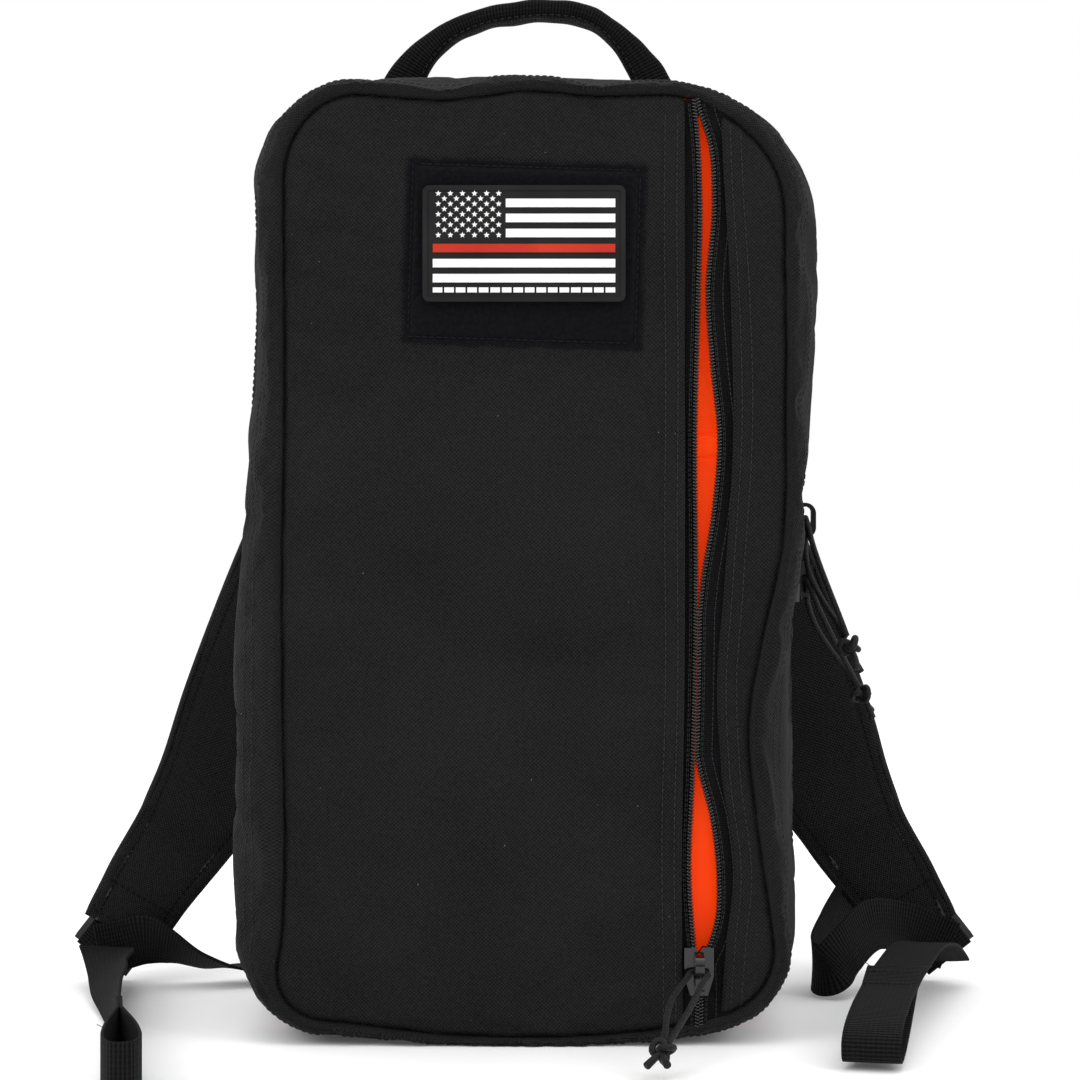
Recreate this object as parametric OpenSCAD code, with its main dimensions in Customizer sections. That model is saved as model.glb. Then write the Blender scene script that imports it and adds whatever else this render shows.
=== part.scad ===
/* [Pack body] */
// Overall width of the body across the side gussets
body_w = 254; // [240:1:270]
// Overall height of the body without the carry handle
body_h = 432; // [420:1:450]
// Depth of the body from the front panel to the back panel
body_d = 150; // [145:1:165]
// Radius of the outline's corners seen from the front
corner_r = 48; // [42:1:52]
// Distance from the front face to the main zip's centre line
front_shell_d = 55; // [52:1:60]
// Thickness of the outer fabric with its coating
fabric_t = 1.6; // [1.4:0.1:1.6]
// Thickness of linings, zip tape and binding
lining_t = 0.8; // [0.6:0.1:0.8]
// How far the front panel's seam sits inside the outline
seam_inset = 15; // [12:1:18]

/* [Front pocket] */
// Distance of the front zip from the middle of the body
zip_x = 78; // [70:1:80]
// Width left open between the two rows of coil
zip_gap = 4; // [3:0.5:6]
// Visible width of one zip tape beside its coil
tape_show = 10; // [8:1:12]
// Depth of the front pocket behind the front panel
pocket_d = 14; // [12:1:16]
// Height of the organizer pocket's hem above the ground
organizer_h = 270; // [220:5:300]

/* [Patch] */
// Width of the loop field that takes a patch
loop_w = 104; // [95:1:108]
// Height of the loop field
loop_h = 79; // [74:1:84]
// Width of the moulded patch
patch_w = 89; // [76:1:90]
// Height of the moulded patch
patch_h = 51; // [45:1:56]

/* [Straps] */
// Width of the padded shoulder strap at its widest
strap_w = 66; // [60:1:70]
// Thickness of the padded strap
strap_t = 9; // [8:0.5:10]
// Width of the webbing
web_w = 25; // [24:0.5:25.4]
// Thickness of the webbing
web_t = 1.4; // [1.2:0.1:1.6]

/* [Handle] */
// Width between the handle's feet, centre to centre
handle_span = 140; // [130:1:146]
// Height of the handle above the body
handle_h = 56; // [50:1:58]

/* [Hidden] */

// Depth planes, front to back.
front_y = -body_d / 2;
back_y = body_d / 2;
zip_y = front_y + front_shell_d;
flare_y = front_y + 29;             // where the front gusset reaches the full outline
tape_front_y = zip_y - 11;          // front gusset's folded edge
tape_rear_y = zip_y + 11;           // rear gusset's folded edge
wall_y = front_y + fabric_t + pocket_d;
zip_end_z = 50;                     // the main zip stops here on both sides
split = 0.3;                        // half the gap between the two halves at the hinge
snug = 0.1;                         // clearance between stacked layers
hair = 0.02;                        // clearance between a zip's own layers

// Zip chain sizes.
coil_w = 2.2;
coil_t = 1.8;
slider_w = 13;
slider_l = 21;
plate_t = 2.0;
inner_plate_t = 1.5;
post_w = 1.0;
bail_w = 4;
bail_h = 8;
bail_hole_r = 2.4;
cord_r = 1.7;
knot_r = 6;
main_gap = 1.4;                     // gap between the rows of coil of the closed main zip

// Heights of the zip sliders.
upper_slider_z = 232;
lower_slider_z = 205;
front_slider_z = 33;

// Patch position.
patch_x = 1;
patch_z = 353;
loop_x = 1;
loop_z = 349;
hook_t = 1.0;
loop_t = 1.4;
patch_t = 2.6;
mark_t = 0.6;
loop_lean = 1.8;

// Back of the body, front to back: back sheet of the lining, foam, frame sheet, panel, pads.
sheet_t = 1.2;
foam_t = 5;
pad_t = 8;
pad_w = 90;
pad_h = 330;
pad_z = 30;                         // lower edge of the pads
pad_channel = 16;                   // air channel between the two pads
frame_inset = 12;                   // frame sheet and foam inside the outline

// Pockets inside, and the bindings that finish their edges.
hem_w = 10;
hem_t = 2;
sleeve_gap = 14;                    // from the back face to the sleeve
sleeve_w = 190;
sleeve_z = 12;
sleeve_h = 268;
tab_h = 62;
mesh_w = 196;
mesh_z = 30;
mesh_h = 176;
mesh_gap = 3;                       // from the pocket wall to the mesh
organizer_gap = 3;                  // from the organizer pocket to the pocket wall
organizer_hem = 6;
seam_binding_w = 6;
seam_binding_t = 2.2;
zip_overlap = 5;                    // how far the main zip's tape reaches under its gusset

$fn = 48;

// ---------- helpers ----------

// A centred rectangle with round corners.
module rounded(w, h, r, fn = 64) {
    square([w - 2 * r, h], center = true);
    square([w, h - 2 * r], center = true);
    for (x = [-1, 1], z = [-1, 1])
        translate([x * (w / 2 - r), z * (h / 2 - r)]) circle(r, $fn = fn);
}

// The body's outline seen from the front, moved inwards by inset.
module outline(inset = 0, fn = 64) {
    translate([0, body_h / 2])
        rounded(body_w - 2 * inset, body_h - 2 * inset, corner_r - inset, fn);
}

// Stands a front-view shape up between two depths.
module slab(y0, y1) {
    translate([0, y1, 0]) rotate([90, 0, 0]) linear_extrude(y1 - y0) children();
}

// A hoop of the outline between two insets and two depths.
module hoop(outer, inner, y0, y1) {
    slab(y0, y1) difference() {
        outline(outer);
        outline(inner);
    }
}

// A front-view rectangle with its lower left corner at x, z.
module rect(x, z, w, h) {
    translate([x, z]) square([w, h]);
}

// Solid lofted through the front gusset's rounded edge, moved inwards by extra.
flare = [[front_y + fabric_t, seam_inset], [front_y + 9, 7.2], [front_y + 18, 2.2], [flare_y, 0]];
module flare_solid(extra) {
    for (i = [0 : len(flare) - 2]) hull() {
        slab(flare[i][0], flare[i][0] + 0.02) outline(flare[i][1] + extra, 32);
        slab(flare[i + 1][0] - 0.02, flare[i + 1][0]) outline(flare[i + 1][1] + extra, 32);
    }
}

// Keeps only the part of the children below or above the end of the main zip.
module below_zip_end() {
    intersection() {
        children();
        translate([-body_w, -body_d, -1]) cube([2 * body_w, 2 * body_d, zip_end_z + 1]);
    }
}
module above_zip_end(margin = 0) {
    intersection() {
        children();
        translate([-body_w, -body_d, zip_end_z - margin])
            cube([2 * body_w, 2 * body_d, body_h]);
    }
}

// ---------- rear half of the body ----------

module rear_gusset() {
    color("#1c1c1e") union() {
        hoop(0, fabric_t, tape_rear_y, back_y - fabric_t);
        below_zip_end() hoop(0, fabric_t, zip_y + split, tape_rear_y);
    }
}

module back_panel() {
    color("#1c1c1e") slab(back_y - fabric_t, back_y) outline(0);
}

module frame_sheet() {
    color("#dddddd")
        slab(back_y - fabric_t - sheet_t - snug, back_y - fabric_t - snug) outline(frame_inset);
}

module back_foam() {
    y1 = back_y - fabric_t - sheet_t - 2 * snug;
    color("#555555") slab(y1 - foam_t, y1) outline(frame_inset);
}

module back_mesh_pads() {
    edge = pad_channel / 2;
    color("#222222") for (x0 = [-edge - pad_w, edge])
        slab(back_y, back_y + pad_t) rect(x0, pad_z, pad_w, pad_h);
}

// Lining of the rear half: a hoop inside the gusset and a back sheet over the foam.
module rear_lining() {
    sheet_y1 = back_y - fabric_t - sheet_t - foam_t - 3 * snug;
    inset = fabric_t + snug;
    color("#f04a10") union() {
        hoop(inset, inset + lining_t, tape_rear_y + 2, sheet_y1);
        slab(sheet_y1 - lining_t, sheet_y1) outline(inset);
    }
}

module rear_seam_binding() {
    inset = fabric_t + snug;
    y1 = back_y - fabric_t - snug;
    color("#1c1c1e") hoop(inset, inset + seam_binding_w, y1 - seam_binding_t, y1);
}

module main_zip_tape(y0, y1) {
    inset = fabric_t + snug;
    color("#232325") above_zip_end(6) hoop(inset, inset + lining_t, y0, y1);
}

module main_zip_coil(y0) {
    inset = fabric_t + snug + lining_t;
    color("#2b2b2e") above_zip_end(4) hoop(inset, inset + coil_t, y0, y0 + coil_w);
}

module main_zip_tape_rear() {
    main_zip_tape(zip_y + main_gap / 2, tape_rear_y + zip_overlap - 3.1);
}

module main_zip_coil_rear() {
    main_zip_coil(zip_y + main_gap / 2);
}

// Flat sleeve against the back for a tablet or a water bladder.
module sleeve_panel() {
    y1 = back_y - sleeve_gap;
    color("#f04a10") slab(y1 - lining_t, y1) rect(-sleeve_w / 2, sleeve_z, sleeve_w, sleeve_h);
}

module sleeve_binding() {
    y1 = back_y - sleeve_gap + (hem_t - lining_t) / 2;
    color("#1c1c1e") slab(y1 - hem_t, y1)
        rect(-sleeve_w / 2, sleeve_z + sleeve_h + snug, sleeve_w, hem_w);
}

module sleeve_tab() {
    y1 = back_y - sleeve_gap - hem_t + 0.5;
    z0 = sleeve_z + sleeve_h - tab_h / 2 + 1;
    color("#1c1c1e") slab(y1 - web_t, y1) rect(-web_w / 2, z0, web_w, tab_h);
}

module strap_yoke() {
    color("#1c1c1e") slab(back_y + snug, back_y + snug + fabric_t)
        polygon([[-80, 368], [80, 368], [66, 424], [-66, 424]]);
}

// Triangular tab that ties the lower webbing into the back seam; s is -1 left, 1 right.
module anchor_tab(s) {
    color("#1c1c1e") translate([0, 0, 8]) linear_extrude(3) polygon([
        [s * 92, back_y + snug], [s * 116, back_y + snug],
        [s * 121, back_y + 10], [s * 112, back_y + 16], [s * 100, back_y + 14]
    ]);
}
module anchor_tab_left() { anchor_tab(-1); }
module anchor_tab_right() { anchor_tab(1); }

// Fabric hinge along the bottom between the two halves.
module hinge_strip() {
    reach = 9;
    half_w = body_w / 2 - corner_r;
    color("#1c1c1e") translate([-half_w, zip_y - reach, fabric_t + snug])
        cube([2 * half_w, 2 * reach, lining_t]);
}

// ---------- front half of the body ----------

panel_edge_x = zip_x - zip_gap / 2 - tape_show;    // the front panel's folded edge
strip_edge_x = zip_x + zip_gap / 2 + tape_show;    // the side strip's folded edge

module front_panel() {
    color("#1c1c1e") slab(front_y, front_y + fabric_t) intersection() {
        outline(seam_inset);
        rect(-body_w, 0, body_w + panel_edge_x, body_h);
    }
}

module side_strip() {
    color("#1c1c1e") slab(front_y, front_y + fabric_t) intersection() {
        outline(seam_inset);
        rect(strip_edge_x, 0, body_w, body_h);
    }
}

module front_gusset() {
    color("#1c1c1e") union() {
        difference() {
            flare_solid(0);
            flare_solid(fabric_t);
            translate([0, 0, seam_inset + 6])
                slab(front_y - 1, front_y + 3) rect(-90, 0, 180, body_h - 2 * seam_inset - 12);
        }
        hoop(0, fabric_t, flare_y, tape_front_y);
        below_zip_end() hoop(0, fabric_t, tape_front_y, zip_y - split);
    }
}

module front_seam_binding() {
    inset = seam_inset + fabric_t + 1;
    y0 = front_y + fabric_t + snug;
    color("#1c1c1e") hoop(inset, inset + seam_binding_w - 1, y0, y0 + seam_binding_t - snug);
}

// Lining inside the front half, from the pocket's wall to the zip.
module front_lining() {
    inset = fabric_t + 3.5;
    color("#f04a10") hoop(inset, inset + lining_t, wall_y + lining_t + snug, tape_front_y - 2);
}

module main_zip_tape_front() {
    main_zip_tape(tape_front_y - zip_overlap, zip_y - main_gap / 2);
}

module main_zip_coil_front() {
    main_zip_coil(zip_y - main_gap / 2 - coil_w);
}

// Tape and coil of the front zip run the height of the front panel; s is -1 left, 1 right.
front_zip_z0 = seam_inset + 16;
front_zip_len = body_h - 2 * front_zip_z0;
module front_zip_tape(s) {
    w = tape_show + 7;
    x0 = s < 0 ? zip_x - zip_gap / 2 - w : zip_x + zip_gap / 2;
    y0 = front_y + fabric_t + hair;
    color("#232325") slab(y0, y0 + lining_t) rect(x0, front_zip_z0, w, front_zip_len);
}
module front_zip_coil(s) {
    x0 = s < 0 ? zip_x - zip_gap / 2 - coil_w : zip_x + zip_gap / 2;
    y0 = front_y + fabric_t + lining_t + 2 * hair;
    color("#2b2b2e") slab(y0, y0 + coil_t) rect(x0, front_zip_z0, coil_w, front_zip_len);
}
module front_zip_tape_left() { front_zip_tape(-1); }
module front_zip_tape_right() { front_zip_tape(1); }
module front_zip_coil_left() { front_zip_coil(-1); }
module front_zip_coil_right() { front_zip_coil(1); }

// Back wall of the front pocket, in the lining colour.
module pocket_wall() {
    color("#f04a10") slab(wall_y, wall_y + lining_t) outline(7.5);
}

module organizer_pocket() {
    y0 = wall_y - organizer_gap;
    color("#f04a10") slab(y0, y0 + lining_t) intersection() {
        outline(seam_inset - 1);
        rect(-body_w, 0, 2 * body_w, organizer_h - organizer_hem);
    }
}

module organizer_binding() {
    y0 = wall_y - organizer_gap - lining_t / 2;
    color("#f04a10") slab(y0, y0 + 2 * lining_t) intersection() {
        outline(seam_inset - 1);
        rect(-body_w, organizer_h - organizer_hem + snug, 2 * body_w, organizer_hem);
    }
}

// Loop field sewn on the front panel, turned a little clockwise.
module loop_panel() {
    color("#16161a") slab(front_y - loop_t, front_y)
        translate([loop_x, loop_z]) rotate(-loop_lean) square([loop_w, loop_h], center = true);
}

// Mesh pocket on the main compartment's side of the pocket wall.
module lid_mesh_pocket() {
    y0 = wall_y + lining_t + mesh_gap;
    color("#303034") slab(y0, y0 + lining_t) rect(-mesh_w / 2, mesh_z, mesh_w, mesh_h);
}
module lid_mesh_binding() {
    y0 = wall_y + lining_t + mesh_gap - (hem_t - lining_t) / 2;
    color("#1c1c1e") slab(y0, y0 + hem_t) rect(-mesh_w / 2, mesh_z + mesh_h + snug, mesh_w, hem_w);
}

// ---------- removable patch ----------

hook_y = front_y - loop_t - hook_t;
face_y = hook_y - patch_t;

module patch_hook_backing() {
    color("#111111") slab(hook_y, hook_y + hook_t)
        translate([patch_x, patch_z]) square([patch_w - 3, patch_h - 3], center = true);
}

// Moulded base with a raised rim.
patch_corner_r = 3;
patch_rim = 2.2;
module patch_base() {
    color("#2a2a2c") difference() {
        slab(face_y, hook_y) translate([patch_x, patch_z])
            rounded(patch_w, patch_h, patch_corner_r);
        slab(face_y - 1, face_y + mark_t) translate([patch_x, patch_z])
            rounded(patch_w - 2 * patch_rim, patch_h - 2 * patch_rim, patch_corner_r - patch_rim);
    }
}

bar_h = 3.7;            // height of one stripe
bar_pitch = 6.6;        // spacing of the stripes
bar_w = 80;             // length of the long stripes
short_bar_w = 48;       // length of the stripes beside the stars
top_bar_z = 19.6;       // top edge of the first stripe above the patch's middle
star_r = 1.35;

module star2d(r) {
    polygon([for (i = [0 : 9]) (i % 2 == 0 ? r : r * 0.42) * [sin(i * 36), cos(i * 36)]]);
}

module patch_marks_2d() {
    for (i = [0 : 5]) if (i != 3) {
        w = i < 3 ? short_bar_w : bar_w;
        rect(bar_w / 2 - w, top_bar_z - i * bar_pitch - bar_h, w, bar_h);
    }
    // Staggered rows of stars.
    for (row = [0 : 8]) {
        n = row % 2 == 0 ? 6 : 5;
        for (k = [0 : n - 1])
            translate([-bar_w / 2 + 2.4 + (row % 2) * 2.65 + k * 5.3, top_bar_z + 2.3 - row * 2.28])
                star2d(star_r);
    }
    // A row of plain blocks along the lower edge.
    for (k = [0 : 15])
        rect(-bar_w / 2 + k * 5.05, top_bar_z - 5 * bar_pitch - bar_h - 4.4, 4.2, 2.2);
}

module patch_white_marks() {
    color("white") slab(face_y, face_y + mark_t) translate([patch_x, patch_z]) patch_marks_2d();
}

module patch_red_stripe() {
    color("#e0301c") slab(face_y, face_y + mark_t) translate([patch_x, patch_z])
        rect(-bar_w / 2, top_bar_z - 3 * bar_pitch - bar_h, bar_w, bar_h);
}

// ---------- zip sliders and cord pulls ----------

// A slider lying on the XZ plane: the tape's outer face is y = 0 and the bail points to -Y.
// The nose points up; under is the depth of the inner plate's near face behind the tape's face.
module slider(under) {
    shield = [
        [-slider_w / 2, -slider_l / 2], [-1.6, -slider_l / 2], [0, -slider_l / 2 + 2.4],
        [1.6, -slider_l / 2], [slider_w / 2, -slider_l / 2],
        [slider_w / 2, 2], [slider_w / 2 - 2.6, slider_l / 2], [-slider_w / 2 + 2.6, slider_l / 2],
        [-slider_w / 2, 2]
    ];
    color("#0c0c0e") union() {
        slab(-snug - plate_t, -snug) polygon(shield);
        slab(under, under + inner_plate_t) polygon(shield);
        translate([-post_w / 2, -0.5, slider_l / 2 - 5]) cube([post_w, under + 1, 4]);
        // Bail: a plate with a round-ended hole that the cord goes through.
        translate([-bail_w / 2, -plate_t, 0]) rotate([0, 90, 0])
            linear_extrude(bail_w) difference() {
                bail_2d(bail_h, 8.2);
                translate([0, -3.4]) {
                    circle(bail_hole_r);
                    translate([-4, 0]) circle(bail_hole_r);
                    translate([-4, -bail_hole_r]) square([4, 2 * bail_hole_r]);
                }
            }
    }
}

// Side view of the bail: first axis runs down the slider, second axis points to the front as -Y.
module bail_2d(h, half_l) {
    r = 5;
    translate([-half_l, -h + r]) square([2 * half_l, h - r + 0.5]);
    translate([-half_l + r, -h]) square([2 * half_l - 2 * r, h]);
    for (s = [-1, 1]) translate([s * (half_l - r), -h + r]) circle(r);
}

// Where the cord sits in the bail, measured from the slider's middle.
bail_axis_y = -plate_t - 3.4;

function unit(v) = v / norm(v);
// A straight piece of cord between two points with rounded ends.
module cord(a, b) {
    hull() {
        translate(a) sphere(cord_r, $fn = 16);
        translate(b) sphere(cord_r, $fn = 16);
    }
}

// Cord loop around the X axis at the origin, with its knot centred at knot.
// Both strands run straight past the bail before they close in on the knot.
cord_straight = 11;
cord_end = 8;                       // loose ends beyond the knot
module cord_loop(knot) {
    side = bail_w / 2 + 0.5 + cord_r;
    aim = unit([0, knot[1], knot[2]]);
    throat = knot - aim * (knot_r - 1);
    tail = knot + aim * (knot_r + cord_end);
    color("#1a1a1a") union() {
        translate([-side, 0, 0]) rotate([0, 90, 0]) cylinder(r = cord_r - snug, h = 2 * side);
        for (s = [-1, 1]) {
            cord([s * side, 0, 0], [s * side, 0, 0] + aim * cord_straight);
            cord([s * side, 0, 0] + aim * cord_straight, throat + [s * 2, 0, 0]);
            cord(knot, tail + [s * 3, 0, 0]);
        }
        translate(knot) sphere(knot_r, $fn = 32);
    }
}

slider_under = lining_t + coil_t + 0.15;

module front_slider() {
    translate([zip_x, front_y + fabric_t + hair, front_slider_z]) mirror([0, 0, 1]) slider(slider_under);
}

front_bail = [zip_x, front_y + fabric_t + hair + bail_axis_y, front_slider_z];
front_knot = [-19, -60, -22];
module front_pull_cord() {
    translate(front_bail) cord_loop(front_knot);
}

// Puts a slider built on the front face onto the right-hand side of the body.
side_face_x = body_w / 2 - fabric_t - snug;
module on_side(z) {
    translate([side_face_x, zip_y, z]) rotate([0, 0, 90]) children();
}

module main_slider_upper() { on_side(upper_slider_z) slider(slider_under); }
module main_slider_lower() { on_side(lower_slider_z) mirror([0, 0, 1]) slider(slider_under); }
module main_pull(z, knot) {
    on_side(z) translate([0, bail_axis_y, 0]) cord_loop(knot);
}
module main_pull_upper() { main_pull(upper_slider_z, [-20, -18, -56]); }
module main_pull_lower() { main_pull(lower_slider_z, [18, -28, -50]); }

// ---------- carry handle ----------

handle_y = back_y - 9;
foot_r = 1.8;
foot_w = 20;
// One cross-section of the handle, leaning with its run.
module handle_station(x, z, w, d, lean) {
    translate([x, handle_y, body_h + z]) rotate([0, lean, 0]) cube([w, d, 1], center = true);
}
// Stations along the right half: x, height above the body, width, depth, lean.
handle_half = [
    [handle_span / 2, 2.6, foot_w, 2.6, -8], [handle_span / 2 - 8, 20, 17, 8, -30],
    [handle_span / 2 - 25, 38, 9, 18, -52], [0, handle_h - 4.5, 9, 20, -90]
];
module carry_handle() {
    color("#1f1f20") union() {
        for (s = [-1, 1]) {
            for (i = [0 : len(handle_half) - 2]) hull() {
                a = handle_half[i];
                b = handle_half[i + 1];
                handle_station(s * a[0], a[1], a[2], a[3], s * a[4]);
                handle_station(s * b[0], b[1], b[2], b[3], s * b[4]);
            }
            // The webbing's foot, rolled over where it enters the seam.
            translate([s * handle_span / 2 - foot_w / 2, handle_y, body_h + foot_r + snug])
                rotate([0, 90, 0]) cylinder(r = foot_r, h = foot_w);
        }
    }
}

// ---------- shoulder straps ----------

// Stations of the left strap's centre line: x, y, z, width share, lean from vertical.
strap_path = [
    [-38, 81.5, 402, 1, 20], [-54, 100, 362, 1, 22], [-88, 116, 276, 1, 22],
    [-123, 117, 192, 1, 21], [-143, 112, 138, 1, 22], [-161, 104, 92, 0.94, 26],
    [-182, 94, 54, 0.8, 32], [-192, 91, 38, 0.74, 34]
];
skin_t = 1.4;
foam_gap = 0.9;         // room the twisted skins need on each side of the foam
station_t = 0.1;

// One cross-section of a strap layer between two depths, in a frame leaning with the strap.
module strap_station(p, y0, y1) {
    w = strap_w * p[3];
    translate([p[0], p[1], p[2]]) rotate([0, p[4], 0])
        translate([-w / 2, y0, -station_t / 2]) cube([w, y1 - y0, station_t]);
}

module strap_layer(s, y0, y1, last = len(strap_path) - 2) {
    on_side_of(s) for (i = [0 : last]) hull() {
        strap_station(strap_path[i], y0, y1);
        strap_station(strap_path[i + 1], y0, y1);
    }
}

// Builds a left-hand part, or its mirror image when s is 1.
module on_side_of(s) {
    if (s < 0) children();
    else mirror([1, 0, 0]) children();
}

// Layers of the strap: woven cover, foam core and the mesh that touches the wearer.
// The mesh stops one station short of the strap's end.
half_t = strap_t / 2;
module strap_cover(s) {
    color("#1c1c1e") strap_layer(s, -half_t, -half_t + skin_t);
}
module strap_foam(s) {
    color("#4a4a4a") strap_layer(s, -half_t + skin_t + foam_gap, half_t - skin_t - foam_gap);
}
module strap_mesh(s) {
    color("#26262a") strap_layer(s, half_t - skin_t, half_t, len(strap_path) - 3);
}
module strap_cover_left() { strap_cover(-1); }
module strap_cover_right() { strap_cover(1); }
module strap_foam_left() { strap_foam(-1); }
module strap_foam_right() { strap_foam(1); }
module strap_mesh_left() { strap_mesh(-1); }
module strap_mesh_right() { strap_mesh(1); }

// The ladder lock's own frame: X across, +Z back up along the strap, Y through it.
lock_lean = 38;
lock_pivot = [-200, 91, 31];
lock_w = 33;
lock_l = 24;
bar_r = 1.9;
module in_lock_frame(s) {
    on_side_of(s) translate(lock_pivot) rotate([0, lock_lean, 0]) children();
}

// Short loop of webbing that holds the ladder lock's bar on the end of the strap.
module lock_loop(s) {
    tube_r = bar_r + 0.1;
    color("#1f1f20") in_lock_frame(s) difference() {
        union() {
            translate([-web_w / 2, 0, 0]) rotate([0, 90, 0])
                cylinder(r = tube_r + web_t, h = web_w);
            translate([-web_w / 2, -tube_r - web_t, 0]) cube([web_w, 2 * (tube_r + web_t), 6]);
        }
        translate([-web_w, 0, 0]) rotate([0, 90, 0]) cylinder(r = tube_r, h = 2 * web_w);
    }
}
module lock_loop_left() { lock_loop(-1); }
module lock_loop_right() { lock_loop(1); }

// Ladder lock: two rails, the loop bar, two webbing bars and a thumb lip.
module ladder_lock(s) {
    rail = 3.2;
    depth = 6;
    color("#101012") in_lock_frame(s) union() {
        for (side = [-1, 1])
            translate([side * (lock_w - rail) / 2 - rail / 2, -depth / 2, -lock_l + 3])
                cube([rail, depth, lock_l]);
        for (z = [0, -10, -18]) translate([-lock_w / 2 + 0.5, 0, z])
            rotate([0, 90, 0]) cylinder(r = bar_r, h = lock_w - 1);
        translate([-lock_w / 2, depth / 2 - 2.4, -lock_l + 0.5]) cube([lock_w, 2.4, 3]);
    }
}
module ladder_lock_left() { ladder_lock(-1); }
module ladder_lock_right() { ladder_lock(1); }

// A ribbon of webbing through stations [x, y, z, heading, roll]: heading turns its run about Z,
// and roll 0 stands it on edge, 90 lays it flat.
module ribbon_station(p) {
    translate([p[0], p[1], p[2]]) rotate([0, 0, p[3]]) rotate([p[4], 0, 0])
        cube([0.4, web_t, web_w], center = true);
}
module ribbon(path) {
    for (i = [0 : len(path) - 2]) hull() {
        ribbon_station(path[i]);
        ribbon_station(path[i + 1]);
    }
}

left_run = [
    [-194, 84, 22, -8, 0], [-178, 79, 24, -14, 4], [-160, 76, 22, -4, 20],
    [-144, 78, 18, 6, 48], [-130, 84, 14, 14, 80], [-121, 88, 13.5, 16, 90]
];
right_run = [
    [205, 85.5, 28.5, -153, 0], [190, 77, 32, -145, 10], [172, 59, 34, -137, 14],
    [156, 43, 27, -158, 8], [144, 41, 19, 122, 4], [139, 54, 20, 86, 0],
    [141, 74, 30, 90, 0], [145, 100, 44, 90, 0], [142, 121, 66, 128, 0],
    [130, 128, 74, 175, 0], [116, 124, 62, -140, 0], [108, 108, 36, -107, 30],
    [106, 93, 17, -97, 70]
];
left_tail = [
    [-208, 80, 16, -90, -123], [-204, 55, 14, -88, -100], [-198, 20, 13.4, -84, -72],
    [-190, -20, 13.2, -82, -42], [-181, -60, 13.2, -80, -18], [-171, -112, 13.2, -80, 0]
];
right_tail = [
    [208, 79, 15, -106, 90], [196, 36, 31, -108, 90], [175, -16, 35, -106, 90],
    [160, -58, 30, -100, 90]
];

// Stitched loop at the end of a tail, running along +X from the origin, standing on edge
// and a touch narrower than the webbing it is stitched to.
loop_l = 84;
loop_r = 6.5;
loop_neck = 24;
module web_loop() {
    bend_x = loop_l - loop_r;
    linear_extrude(web_w - 0.6, center = true) {
        translate([0, -web_t]) square([loop_neck, 2 * web_t]);
        for (s = [0, 1]) mirror([0, s]) polygon([
            [loop_neck - 1, 0], [loop_neck - 1, web_t], [bend_x, loop_r], [bend_x, loop_r - web_t]
        ]);
        difference() {
            translate([bend_x, 0]) circle(loop_r);
            translate([bend_x, 0]) circle(loop_r - web_t);
            translate([bend_x - 2 * loop_r - 0.05, -loop_r - 1]) square([2 * loop_r, 2 * loop_r + 2]);
        }
    }
}

module adjuster_webbing_left() { color("#1f1f20") ribbon(left_run); }
module adjuster_webbing_right() { color("#1f1f20") ribbon(right_run); }
module webbing_tail_left() {
    color("#1f1f20") union() {
        ribbon(left_tail);
        translate([-171, -112, 13.2]) rotate([0, 0, -82]) web_loop();
    }
}
module webbing_tail_right() {
    color("#1f1f20") union() {
        ribbon(right_tail);
        translate([160, -58, 30]) rotate([0, 0, -98]) rotate([0, 15, 0]) rotate([90, 0, 0]) web_loop();
    }
}

// ---------- assembly ----------

rear_gusset();
back_panel();
frame_sheet();
back_foam();
back_mesh_pads();
rear_lining();
rear_seam_binding();
main_zip_tape_rear();
main_zip_coil_rear();
sleeve_panel();
sleeve_binding();
sleeve_tab();
strap_yoke();
anchor_tab_left();
anchor_tab_right();
hinge_strip();
front_panel();
side_strip();
front_gusset();
front_seam_binding();
front_lining();
main_zip_tape_front();
main_zip_coil_front();
front_zip_tape_left();
front_zip_tape_right();
front_zip_coil_left();
front_zip_coil_right();
pocket_wall();
organizer_pocket();
organizer_binding();
loop_panel();
lid_mesh_pocket();
lid_mesh_binding();
patch_hook_backing();
patch_base();
patch_white_marks();
patch_red_stripe();
front_slider();
front_pull_cord();
main_slider_upper();
main_pull_upper();
main_slider_lower();
main_pull_lower();
carry_handle();
strap_cover_left();
strap_cover_right();
strap_foam_left();
strap_foam_right();
strap_mesh_left();
strap_mesh_right();
lock_loop_left();
lock_loop_right();
ladder_lock_left();
ladder_lock_right();
adjuster_webbing_left();
adjuster_webbing_right();
webbing_tail_left();
webbing_tail_right();
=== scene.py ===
"""Looks of the trauma backpack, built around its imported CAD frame. All lengths are in metres."""
import math

import bpy
import numpy as np
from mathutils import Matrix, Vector
from mathutils.bvhtree import BVHTree


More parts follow.
